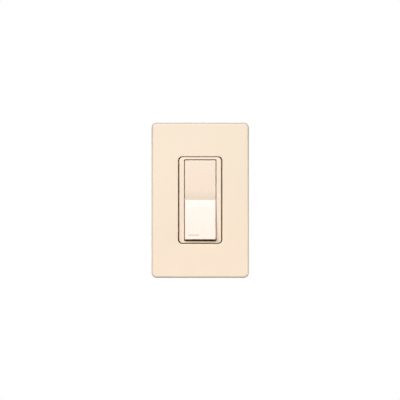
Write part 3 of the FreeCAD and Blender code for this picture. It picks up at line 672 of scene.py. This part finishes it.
@dataclass(frozen=True)
class Thread:
    """A machine thread: its radii, its pitch, and how its point runs out."""

    crest: float
    core: float
    pitch: float
    facets: int = 40
    point_turns: float = 1.2
    tip_share: float = 0.72


PITCH_32 = 25.4 * MM / 32
FINE_THREAD = Thread(1.75 * MM, 1.36 * MM, PITCH_32)
TERMINAL_THREAD = Thread(2.08 * MM, 1.66 * MM, PITCH_32)
SMALL_THREAD = Thread(1.05 * MM, 0.78 * MM, 0.75 * MM)


def lathe(outline: Outline, steps: int = 96) -> Mesh:
    """Turn an outline about the Z axis into a closed shell.

    Args:
        outline: (radius, height) points from pole to pole.
        steps: facets in a full turn.

    Returns:
        The turned mesh.
    """
    mesh = bmesh.new()
    verts = [mesh.verts.new((radius, 0, height)) for radius, height in outline]
    edges = [mesh.edges.new(pair) for pair in zip(verts, verts[1:])]
    bmesh.ops.spin(mesh, geom=verts + edges, cent=(0, 0, 0), axis=(0, 0, 1), dvec=(0, 0, 0),
                   angle=FULL_TURN, steps=steps, use_merge=True, use_duplicate=False)
    bmesh.ops.remove_doubles(mesh, verts=mesh.verts, dist=TOUCHING)
    bmesh.ops.recalc_face_normals(mesh, faces=mesh.faces)
    return mesh


def arc(centre: tuple[float, float], radius: float, start: float, end: float, count: int) -> Outline:
    """Points along an arc.

    Args:
        centre: the arc's centre.
        radius: its radius.
        start: first angle in degrees.
        end: last angle in degrees.
        count: number of points.

    Returns:
        The points, both ends included.
    """
    angles = [math.radians(start + (end - start) * step / (count - 1)) for step in range(count)]
    return [(centre[0] + radius * math.cos(a), centre[1] + radius * math.sin(a)) for a in angles]


def join(target: Mesh, part: Mesh) -> None:
    """Copy one mesh into another and free it."""
    scratch = bpy.data.meshes.new("scratch")
    part.to_mesh(scratch)
    target.from_mesh(scratch)
    part.free()
    bpy.data.meshes.remove(scratch)


def threaded_shank(thread: Thread, low: float, high: float) -> Mesh:
    """Cut a right-hand thread on a shank along Z, with a run-out point at the top.

    Args:
        thread: the thread's size.
        low: height of the shank's foot.
        high: height of its point.

    Returns:
        The closed shank.
    """
    core, crest, pitch, steps = thread.core, thread.crest, thread.pitch, thread.facets
    mesh = bmesh.new()
    flat = pitch / 8
    ridge = [(core, 0), (core, flat), (crest, pitch / 2 - flat / 2), (crest, pitch / 2 + flat / 2),
             (core, pitch - flat), (core, pitch)]
    foot = low - 2 * pitch
    turns = math.ceil((high - foot) / pitch) + 1
    verts = [mesh.verts.new((radius, 0, foot + height)) for radius, height in ridge]
    edges = [mesh.edges.new(pair) for pair in zip(verts, verts[1:])]
    bmesh.ops.spin(mesh, geom=verts + edges, cent=(0, 0, 0), axis=(0, 0, 1),
                   dvec=(0, 0, pitch / steps), angle=FULL_TURN, steps=steps,
                   use_merge=False, use_duplicate=False)
    first_turn = mesh.verts[:] + mesh.edges[:] + mesh.faces[:]
    for turn in range(1, turns):
        copied = bmesh.ops.duplicate(mesh, geom=first_turn)["geom"]
        raised = [item for item in copied if isinstance(item, bmesh.types.BMVert)]
        bmesh.ops.translate(mesh, vec=(0, 0, turn * pitch), verts=raised)
    bmesh.ops.remove_doubles(mesh, verts=mesh.verts, dist=pitch / steps / 20)
    for height, above in ((low, False), (high, True)):
        bmesh.ops.bisect_plane(mesh, geom=mesh.verts[:] + mesh.edges[:] + mesh.faces[:],
                               dist=ON_PLANE, plane_co=(0, 0, height), plane_no=(0, 0, 1),
                               clear_outer=above, clear_inner=not above)
    point = thread.point_turns * pitch
    tip = core * thread.tip_share
    for vert in mesh.verts:
        rise = vert.co.z - (high - point)
        if rise > 0:
            limit = tip + (crest - tip) * (1 - rise / point)
            reach = math.hypot(vert.co.x, vert.co.y)
            if reach > limit:
                vert.co.xy = vert.co.xy * (limit / reach)
    rims = [edge for edge in mesh.edges if edge.is_boundary]
    bmesh.ops.holes_fill(mesh, edges=rims, sides=0)
    bmesh.ops.recalc_face_normals(mesh, faces=mesh.faces)
    return mesh


@dataclass(frozen=True)
class Recess:
    """A drive recess: half its slot's length, its width and its depth."""

    drive: Drive
    reach: float
    width: float
    depth: float
    slot_run: float = 2.4
    cross_run: float = 1.15
    cross_width: float = 0.92
    cross_drop: float = 2.7
    cross_taper: float = 0.42

    def cutters(self, top: float) -> list[Mesh]:
        """Shapes that cut the recess down from a head's top.

        Args:
            top: height of the head's top.

        Returns:
            One mesh for each arm of the recess.
        """
        shapes = []
        if self.drive in (Drive.SLOT, Drive.COMBINATION):
            length = self.slot_run * self.reach
            shapes.append(tapered_block(length, self.width, 2 * self.depth, top, 1.0))
        if self.drive in (Drive.CROSS, Drive.COMBINATION):
            for turn in (0, math.pi / 2):
                arm = tapered_block(self.cross_run * self.reach, self.width * self.cross_width,
                                    self.cross_drop * self.depth, top, self.cross_taper)
                spun = Matrix.Rotation(turn, 3, "Z")
                bmesh.ops.rotate(arm, cent=(0, 0, 0), matrix=spun, verts=arm.verts)
                shapes.append(arm)
        return shapes


def tapered_block(length: float, width: float, height: float, middle: float, taper: float) -> Mesh:
    """Block about a height whose lower face is narrower.

    Args:
        length: size along X.
        width: size along Y.
        height: size along Z.
        middle: height of the block's centre.
        taper: share of the length that the lower face keeps.

    Returns:
        The block.
    """
    block = bmesh.new()
    bmesh.ops.create_cube(block, size=1.0)
    bmesh.ops.scale(block, vec=(length, width, height), verts=block.verts)
    for vert in block.verts:
        if vert.co.z < 0:
            vert.co.x *= taper
            vert.co.y *= 0.5 + taper / 2
    bmesh.ops.translate(block, vec=(0, 0, middle), verts=block.verts)
    return block


def carve(solid: Mesh, cutters: Sequence[Mesh]) -> Mesh:
    """Cut shapes out of a closed mesh.

    Args:
        solid: the mesh to cut; it is freed.
        cutters: closed meshes to take away; they are freed.

    Returns:
        The cut mesh.
    """
    target = as_object(solid, "carve_target")
    tools = [as_object(cutter, "carve_tool") for cutter in cutters]
    for tool in tools:
        modifier = target.modifiers.new("Cut", "BOOLEAN")
        modifier.operation = "DIFFERENCE"
        modifier.solver = "EXACT"
        modifier.object = tool
    bpy.context.view_layer.update()
    baked = bpy.data.meshes.new_from_object(target.evaluated_get(bpy.context.evaluated_depsgraph_get()))
    result = bmesh.new()
    result.from_mesh(baked)
    for helper in [target, *tools]:
        shell = helper.data
        bpy.data.objects.remove(helper)
        bpy.data.meshes.remove(shell)
    bpy.data.meshes.remove(baked)
    return result


def soften(mesh: Mesh, width: float, angle: float = 35.0, segments: int = 2) -> None:
    """Round every edge that turns by more than an angle.

    Args:
        mesh: the mesh to round.
        width: width of the rounding.
        angle: smallest turn in degrees that counts as an edge.
        segments: facets across the rounding.
    """
    sharp = [edge for edge in mesh.edges
             if len(edge.link_faces) == 2 and edge.calc_face_angle() > math.radians(angle)]
    bmesh.ops.bevel(mesh, geom=sharp, offset=width, offset_type="OFFSET", affect="EDGES",
                    segments=segments, profile=0.5, material=-1, clamp_overlap=True)


def edges_along(mesh: Mesh, axis: int) -> list[bmesh.types.BMEdge]:
    """Edges of a block that run along X (0), Y (1) or Z (2)."""
    return [edge for edge in mesh.edges if abs((edge.verts[0].co - edge.verts[1].co)[axis]) > TOUCHING]


def as_object(mesh: Mesh, name: str) -> bpy.types.Object:
    """Turn a working mesh into a scene object and free it.

    Args:
        mesh: the working mesh.
        name: the object's name.

    Returns:
        The linked object at the origin.
    """
    data = bpy.data.meshes.new(name)
    mesh.to_mesh(data)
    mesh.free()
    piece = bpy.data.objects.new(name, data)
    bpy.context.scene.collection.objects.link(piece)
    return piece


@dataclass
class Piece:
    """A finished visual piece: its mesh in place, its finish, and what it rides on."""

    name: str
    mesh: Mesh
    finish: Finish
    body: str
    slot: str
    stands_for: tuple[str, ...] = ()
    crease: float = 32.0

    def hand_over(self) -> bpy.types.Object:
        """Make the object, dress it, let it ride, and report it.

        Returns:
            The finished object.
        """
        piece = as_object(self.mesh, self.name)
        piece.data.materials.append(material_of(self.finish))
        for face in piece.data.polygons:
            face.use_smooth = True
        piece.data.set_sharp_from_angle(angle=math.radians(self.crease))
        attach(piece, self.body)
        if self.stands_for:
            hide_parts(*self.stands_for)
        log.info("made %s, %d faces", self.name, len(piece.data.polygons))
        return piece


def along(direction: Vec, foot: Vec) -> Matrix:
    """Matrix that lays local +Z along a direction, from a foot point.

    Args:
        direction: where local +Z goes.
        foot: where the local origin goes.

    Returns:
        The placing matrix.
    """
    turn = Vector((0, 0, 1)).rotation_difference(Vector(direction)).to_matrix().to_4x4()
    return Matrix.Translation(Vector(foot)) @ turn


# ---------------- fasteners


@dataclass
class Screw:
    """A screw that stands for a CAD screw, its head's top at local 0 and its point along Z."""

    node: str
    towards: Vec
    thread: Thread
    head_outline: Outline
    recess: Recess
    neck: float = 0.0
    neck_length: float = 0.0
    sunk: float = 0.2 * MM
    neck_overlap: float = 0.1 * MM
    edge: float = 0.07 * MM

    def hand_over(self, finish: Finish, slot: str) -> None:
        """Turn the head, cut its recess, add neck and thread, and put it where the frame has it.

        Args:
            finish: the screw's finish.
            slot: the record's material slot; it is not used.
        """
        head_height = max(height for _, height in self.head_outline)
        head = carve(lathe([(radius, -height) for radius, height in self.head_outline]),
                     self.recess.cutters(0.0))
        soften(head, self.edge)
        bmesh.ops.transform(head, matrix=Matrix.Rotation(math.pi, 4, "X"), verts=head.verts)
        start = head_height - self.sunk
        if self.neck_length:
            end = head_height + self.neck_length + self.neck_overlap
            join(head, lathe([(0, start), (self.neck, start), (self.neck, end), (0, end)]))
            start = head_height + self.neck_length
        join(head, threaded_shank(self.thread, start, length_of(self.node, self.towards)))
        fasten(head, self.node, self.towards, finish, slot)


def length_of(node: str, towards: Vec) -> float:
    """Size of a CAD node along a main axis.

    Args:
        node: the CAD node's name.
        towards: the axis, either way round.

    Returns:
        The length in metres.
    """
    low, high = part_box(node)
    return next(top - bottom for bottom, top, way in zip(low, high, towards) if way)


def fasten(mesh: Mesh, node: str, towards: Vec, finish: Finish, slot: str) -> None:
    """Put a modelled screw where the frame holds the plain one, and hand it over.

    Args:
        mesh: the screw, from its head's top at the origin along Z.
        node: the CAD screw's node.
        towards: direction from head to point, along a main axis.
        finish: the screw's finish.
        slot: the record's material slot; it is not used.
    """
    low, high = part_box(node)
    foot = (low + high) / 2
    for axis, way in enumerate(towards):
        if way:
            foot[axis] = low[axis] if way > 0 else high[axis]
    bmesh.ops.transform(mesh, matrix=along(towards, foot), verts=mesh.verts)
    Piece(f"{node}_threaded", mesh, finish, "frame", slot, (node,)).hand_over()


def pan_head(radius: float, height: float, crown: float) -> Outline:
    """Outline of a domed head from its top's centre to its underside's centre.

    Args:
        radius: the head's radius.
        height: its full height.
        crown: height of the rounded part.

    Returns:
        (radius, depth below the top) points.
    """
    steps = 6
    flat, turn = radius * 0.55, radius * 0.45
    dome = [(flat * step / steps, crown * 0.10 * (step / steps) ** 2) for step in range(steps + 1)]
    shoulder = arc((flat, crown), turn, 90, 0, 2 * steps)
    shoulder = [(x, crown - (y - crown) / turn * crown * 0.90) for x, y in shoulder]
    return dome + shoulder[1:] + [(radius, height), (0, height)]


def flat_head(radius: float, height: float, shank: float) -> Outline:
    """Outline of a countersunk head.

    Args:
        radius: radius at the top.
        height: height of the cone.
        shank: radius at the cone's foot.

    Returns:
        (radius, depth below the top) points.
    """
    rim = 0.12 * MM
    edge = [(radius - rim / 2, 0), (radius, rim / 2), (radius, rim)]
    return [(0, 0), *edge, (shank, height), (0, height)]


def joint(name: str) -> dict:
    """The frame's joint of a name."""
    return next(found for found in frame["joints"] if found["name"] == name)


# ---------------- sub-assemblies


@dataclass
class WallPlate:
    """Cover and carrier, with the two screws that hold the carrier."""

    head_radius: float = 3.1 * MM
    head_height: float = 1.35 * MM
    recess: Recess = Recess(Drive.COMBINATION, 3.1 * MM, 0.9 * MM, 0.7 * MM)

    def build(self) -> None:
        """Dress cover and carrier and model the countersunk screws."""
        dress("faceplate", COVER)
        dress("adapter_plate", CARRIER)
        head = flat_head(self.head_radius, self.head_height, FINE_THREAD.core)
        for place in ("upper", "lower"):
            screw = Screw(f"adapter_screw_{place}", (0, 1, 0), FINE_THREAD, head, self.recess)
            screw.hand_over(ZINC, "zinc_steel")


@dataclass
class Strap:
    """Steel yoke with its box screws, fibre retainers and ground screw."""

    head_radius: float = 3.1 * MM
    head_height: float = 2.0 * MM
    crown: float = 1.1 * MM
    neck: float = 1.5 * MM
    recess: Recess = Recess(Drive.COMBINATION, 3.1 * MM, 1.0 * MM, 0.9 * MM)
    retainer_hole: float = 1.53 * MM
    retainer_corner: float = 1.4 * MM
    retainer_edge: float = 0.06 * MM
    washer_radius: float = 4.2 * MM
    washer_height: float = 0.8 * MM
    washer_round: float = 0.25 * MM
    washer_flat_edge: float = 0.15 * MM
    hex_height: float = 2.2 * MM
    hex_width: float = 6.35 * MM
    hex_edge: float = 0.18 * MM
    hex_recess: Recess = Recess(Drive.SLOT, 3.81 * MM, 1.0 * MM, 0.9 * MM)
    sunk: float = 0.2 * MM

    def build(self) -> None:
        """Dress the yoke and model everything fastened to it."""
        dress("yoke", STRAP_STEEL)
        for place in ("upper", "lower"):
            self.add_box_screw(f"mounting_screw_{place}")
            self.add_retainer(f"screw_retainer_{place}")
        self.add_ground_screw()

    def add_box_screw(self, node: str) -> None:
        """Model one long box screw with a plain neck under its head.

        Args:
            node: the CAD screw's node.
        """
        strap_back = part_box("screw_retainer_upper")[1].y
        neck_length = strap_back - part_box(node)[0].y - self.head_height
        head = pan_head(self.head_radius, self.head_height, self.crown)
        screw = Screw(node, (0, 1, 0), FINE_THREAD, head, self.recess, self.neck, neck_length)
        screw.hand_over(ZINC, "zinc_steel")

    def add_retainer(self, node: str) -> None:
        """Model one fibre washer: a round-cornered square with a pierced hole.

        Args:
            node: the CAD washer's node.
        """
        low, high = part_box(node)
        middle = (low + high) / 2
        mesh = bmesh.new()
        bmesh.ops.create_cube(mesh, size=1.0)
        bmesh.ops.scale(mesh, vec=(high - low), verts=mesh.verts)
        bmesh.ops.bevel(mesh, geom=edges_along(mesh, 1), offset=self.retainer_corner,
                        offset_type="OFFSET", affect="EDGES", segments=8, profile=0.5, material=-1)
        hole = lathe([(0, -MM), (self.retainer_hole, -MM), (self.retainer_hole, MM), (0, MM)])
        bmesh.ops.transform(hole, matrix=along((0, 1, 0), (0, 0, 0)), verts=hole.verts)
        mesh = carve(mesh, [hole])
        soften(mesh, self.retainer_edge)
        bmesh.ops.translate(mesh, vec=middle, verts=mesh.verts)
        Piece(f"{node}_fibre", mesh, FIBRE, "frame", "red_fibre", (node,)).hand_over()

    def add_ground_screw(self) -> None:
        """Model the hex washer-head ground screw, its head to the left."""
        towards = (1, 0, 0)
        top = self.hex_height + self.washer_height
        head = bmesh.new()
        corner = self.hex_width / 2 / math.cos(math.pi / 6)
        bmesh.ops.create_cone(head, cap_ends=True, segments=6, radius1=corner, radius2=corner,
                              depth=self.hex_height)
        bmesh.ops.translate(head, vec=(0, 0, top - self.hex_height / 2), verts=head.verts)
        head = carve(head, self.hex_recess.cutters(top))
        soften(head, self.hex_edge, segments=3)
        turn = self.washer_round
        flange = [(0, 0), (self.washer_radius - self.washer_flat_edge, 0)]
        flange += arc((self.washer_radius - turn, turn), turn, -60, 60, 6)
        flange += [(self.hex_width / 2, self.washer_height), (0, self.washer_height)]
        join(head, lathe(flange))
        bmesh.ops.transform(head, matrix=Matrix.Rotation(math.pi, 4, "X"), verts=head.verts)
        bmesh.ops.translate(head, vec=(0, 0, top), verts=head.verts)
        length = length_of("ground_screw", towards)
        join(head, threaded_shank(TERMINAL_THREAD, top - self.sunk, length))
        fasten(head, "ground_screw", towards, GREEN, "green_steel")


@dataclass
class Front:
    """Bezel frame and paddle, with a plain printed bar near the paddle's lower end."""

    face_distance: float = 5.1 * MM
    bar_length: float = 8.4 * MM
    bar_height: float = 1.0 * MM
    bar_ink: float = 0.02 * MM
    bar_centre_x: float = -5.2 * MM
    bar_centre_z: float = -26.6 * MM
    bar_corner_share: float = 0.3

    def build(self) -> None:
        """Dress frame and paddle and print the bar."""
        dress("bezel_frame", DEVICE)
        dress("paddle", PADDLE)
        self.add_bar()

    def add_bar(self) -> None:
        """Print a plain bar on the lower half of the paddle's face."""
        tilt = joint("paddle_tilt")
        pivot = Vector(tilt["pos_m"])
        lean = math.radians(tilt["range_deg"][1])
        outward = Vector((0, -math.cos(lean), math.sin(lean)))
        depth = (self.face_distance - (self.bar_centre_z - pivot.z) * math.sin(lean)) / math.cos(lean)
        centre = Vector((self.bar_centre_x, pivot.y - depth, self.bar_centre_z))
        mesh = bmesh.new()
        bmesh.ops.create_cube(mesh, size=1.0)
        bmesh.ops.scale(mesh, vec=(self.bar_length, self.bar_height, 2 * self.bar_ink), verts=mesh.verts)
        bmesh.ops.bevel(mesh, geom=edges_along(mesh, 2), offset=self.bar_height * self.bar_corner_share,
                        offset_type="OFFSET", affect="EDGES", segments=5, profile=0.5, material=-1)
        bmesh.ops.transform(mesh, matrix=along(outward, centre), verts=mesh.verts)
        Piece("paddle_printed_bar", mesh, INK, "paddle", "ivory_device").hand_over()


@dataclass
class Mechanism:
    """Plunger, spring, contact bridge, contacts, terminals and terminal screws."""

    wire: float = 0.225 * MM
    wire_facets: int = 12
    coil: float = 1.775 * MM
    coil_facets: int = 32
    coil_start: float = -1.5 * MM
    coil_length: float = 5.5 * MM
    coil_crease: float = 60.0
    dead_turns: float = 1.0
    live_turns: float = 4.0
    head_radius: float = 4.0 * MM
    head_height: float = 2.3 * MM
    crown: float = 1.1 * MM
    recess: Recess = Recess(Drive.COMBINATION, 3.6 * MM, 1.1 * MM, 1.0 * MM)

    def build(self) -> None:
        """Dress the inner pieces and model spring and terminal screws."""
        dress("plunger", NYLON)
        for node in ("contact_bridge", "common_terminal", "load_terminal"):
            dress(node, BRASS)
        for node in ("moving_contact", "fixed_contact"):
            dress(node, SILVER)
        for node in ("common_wire_spring", "load_wire_spring"):
            dress(node, STAINLESS)
        self.add_spring()
        head = pan_head(self.head_radius, self.head_height, self.crown)
        for place in ("common", "load"):
            screw = Screw(f"{place}_binding_screw", (-1, 0, 0), TERMINAL_THREAD, head, self.recess)
            screw.hand_over(BRASS, "brass")

    def add_spring(self) -> None:
        """Wind the plunger's spring with closed turns at both ends."""
        slide = joint("plunger_slide")
        direction = Vector(slide["axis"])
        foot = Vector(joint("paddle_tilt")["pos_m"]) + direction * self.coil_start
        mesh = bmesh.new()
        ring = bmesh.ops.create_circle(mesh, cap_ends=False, segments=self.wire_facets,
                                       radius=self.wire)["verts"]
        bmesh.ops.rotate(mesh, cent=(0, 0, 0), matrix=Matrix.Rotation(math.pi / 2, 3, "X"), verts=ring)
        bmesh.ops.translate(mesh, vec=(self.coil, 0, self.wire), verts=ring)
        tight = 2 * self.wire
        live = (self.coil_length - 2 * self.wire - 2 * self.dead_turns * tight) / self.live_turns
        dead_run = (self.dead_turns, tight)
        geometry = mesh.verts[:] + mesh.edges[:]
        for turns, pitch in (dead_run, (self.live_turns, live), dead_run):
            spun = bmesh.ops.spin(mesh, geom=geometry, cent=(0, 0, 0), axis=(0, 0, 1),
                                  dvec=(0, 0, pitch / self.coil_facets), angle=FULL_TURN * turns,
                                  steps=round(self.coil_facets * turns), use_merge=False,
                                  use_duplicate=False)
            geometry = spun["geom_last"]
        bmesh.ops.remove_doubles(mesh, verts=mesh.verts, dist=TOUCHING)
        bmesh.ops.holes_fill(mesh, edges=[edge for edge in mesh.edges if edge.is_boundary], sides=0)
        bmesh.ops.recalc_face_normals(mesh, faces=mesh.faces)
        bmesh.ops.transform(mesh, matrix=along(direction, foot), verts=mesh.verts)
        spring = Piece("plunger_spring_wound", mesh, STAINLESS, "paddle", "stainless",
                       ("plunger_spring",), self.coil_crease).hand_over()
        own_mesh(spring)


@dataclass
class Housing:
    """Deep rear body and the four screws that hold it to the bezel frame."""

    head_radius: float = 1.9 * MM
    head_height: float = 1.6 * MM
    crown: float = 0.9 * MM
    neck: float = 0.8 * MM
    neck_length: float = 12 * MM
    recess: Recess = Recess(Drive.CROSS, 1.25 * MM, 0.5 * MM, 0.6 * MM)
    screws: int = 4

    def build(self) -> None:
        """Dress the body and model its screws, their heads to the back."""
        dress("rear_housing", HOUSING)
        head = pan_head(self.head_radius, self.head_height, self.crown)
        for index in range(1, self.screws + 1):
            screw = Screw(f"assembly_screw_{index}", (0, -1, 0), SMALL_THREAD, head, self.recess,
                          self.neck, self.neck_length)
            screw.hand_over(ZINC, "zinc_steel")


# ---------------- studio


@dataclass(frozen=True)
class SoftBox:
    """A large rectangular light that faces the switch; angles in degrees."""

    name: str
    azimuth: float
    height: float
    distance: float
    width: float
    length: float
    radiance: float
    tint: Colour = (1.0, 1.0, 1.0)

    def light(self) -> None:
        """Hang the light and aim it at the switch."""
        data = bpy.data.lights.new(self.name, "AREA")
        data.shape = "RECTANGLE"
        data.size = self.width
        data.size_y = self.length
        data.energy = self.radiance * math.pi * self.width * self.length
        data.color = self.tint
        lamp = bpy.data.objects.new(self.name, data)
        bpy.context.scene.collection.objects.link(lamp)
        turn, rise = math.radians(self.azimuth), math.radians(self.height)
        level = math.cos(rise)
        towards = Vector((math.sin(turn) * level, -math.cos(turn) * level, math.sin(rise)))
        lamp.location = towards * self.distance
        lamp.rotation_euler = (-towards).to_track_quat("-Z", "Y").to_euler()
        lamp.visible_camera = False


@dataclass
class Studio:
    """White surroundings, soft lights, a pale floor and a straight-on camera."""

    scale: float = 1306.0
    focal: float = 100.0
    sensor: float = 36.0
    frame_width: int = 400
    floor_drop: float = 0.5
    floor_radius: float = 1.6
    floor_facets: int = 96
    glow: tuple[tuple[float, float], ...] = (
        (0.0, 0.03), (0.03, 0.03), (0.11, 0.30), (0.30, 0.05), (0.62, 0.05), (1.0, 0.7))
    shift: float = 0.19 * MM
    boxes: list[SoftBox] = field(default_factory=lambda: [
        SoftBox("top_softbox", -4, 26, 2.6, 1.15, 1.60, 8.45, (0.82, 0.84, 1.11)),
        SoftBox("key_softbox", -36, 28, 2.6, 1.15, 1.15, 8.5),
        SoftBox("low_card", 0, -66, 1.2, 1.0, 0.7, 3.4, (1.0, 0.92, 0.74)),
        SoftBox("right_card", 74, 0, 1.2, 0.8, 1.0, 1.9, (1.0, 0.95, 0.84)),
        SoftBox("back_softbox", 165, 25, 2.6, 2.1, 1.6, 2.6),
    ])

    def build(self) -> None:
        """Set up surroundings, lights, floor and camera."""
        self.surround()
        for box in self.boxes:
            box.light()
        self.lay_floor()
        self.aim_camera()
        bpy.context.scene.view_settings.view_transform = "Standard"
        log.info("studio ready")

    def surround(self) -> None:
        """White surroundings for the eye and softer ones for the light."""
        world = bpy.data.worlds.new("studio_world")
        bpy.context.scene.world = world
        world.use_nodes = True
        tree = world.node_tree
        tree.nodes.clear()
        seen = tree.nodes.new("ShaderNodeBackground")
        seen.inputs["Color"].default_value = (1, 1, 1, 1)
        seen.inputs["Strength"].default_value = 1.0
        glow = tree.nodes.new("ShaderNodeBackground")
        way = tree.nodes.new("ShaderNodeTexCoord")
        split = tree.nodes.new("ShaderNodeSeparateXYZ")
        tree.links.new(way.outputs["Generated"], split.inputs["Vector"])
        ramp = tree.nodes.new("ShaderNodeValToRGB")
        ramp.color_ramp.interpolation = "EASE"
        shift = tree.nodes.new("ShaderNodeMapRange")
        shift.inputs["From Min"].default_value = -1.0
        tree.links.new(split.outputs["Y"], shift.inputs["Value"])
        tree.links.new(shift.outputs["Result"], ramp.inputs["Fac"])
        stops = ramp.color_ramp.elements
        stops.remove(stops[1])
        for index, (position, strength) in enumerate(self.glow):
            stop = stops.new(position) if index else stops[0]
            stop.position = position
            stop.color = (strength, strength, strength, 1)
        tree.links.new(ramp.outputs["Color"], glow.inputs["Color"])
        mix = tree.nodes.new("ShaderNodeMixShader")
        path = tree.nodes.new("ShaderNodeLightPath")
        output = tree.nodes.new("ShaderNodeOutputWorld")
        tree.links.new(path.outputs["Is Camera Ray"], mix.inputs["Fac"])
        tree.links.new(glow.outputs["Background"], mix.inputs[1])
        tree.links.new(seen.outputs["Background"], mix.inputs[2])
        tree.links.new(mix.outputs["Shader"], output.inputs["Surface"])

    def lay_floor(self) -> None:
        """Lay a round pale floor well below the switch."""
        mesh = bmesh.new()
        bmesh.ops.create_circle(mesh, cap_ends=True, segments=self.floor_facets,
                                radius=self.floor_radius)
        bmesh.ops.translate(mesh, vec=(0, 0, -self.floor_drop), verts=mesh.verts)
        floor = as_object(mesh, "studio_floor")
        floor.data.materials.append(material_of(BOARD))
        floor.visible_diffuse = False

    def aim_camera(self) -> None:
        """Put a long lens straight in front of the plate at the right scale."""
        distance = self.focal / self.sensor * self.frame_width / self.scale
        data = bpy.data.cameras.new("camera")
        data.lens = self.focal
        data.sensor_width = self.sensor
        camera = bpy.data.objects.new("camera", data)
        bpy.context.scene.collection.objects.link(camera)
        camera.location = (-self.shift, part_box("faceplate")[0].y - distance, self.shift)
        camera.rotation_euler = (math.pi / 2, 0, 0)
        bpy.context.scene.camera = camera


def main() -> None:
    """Build every sub-assembly and the studio."""
    logging.basicConfig(level=logging.INFO, format="%(message)s")
    for assembly in (WallPlate(), Strap(), Front(), Mechanism(), Housing(), Studio()):
        assembly.build()


if __name__ == "__main__":
    main()
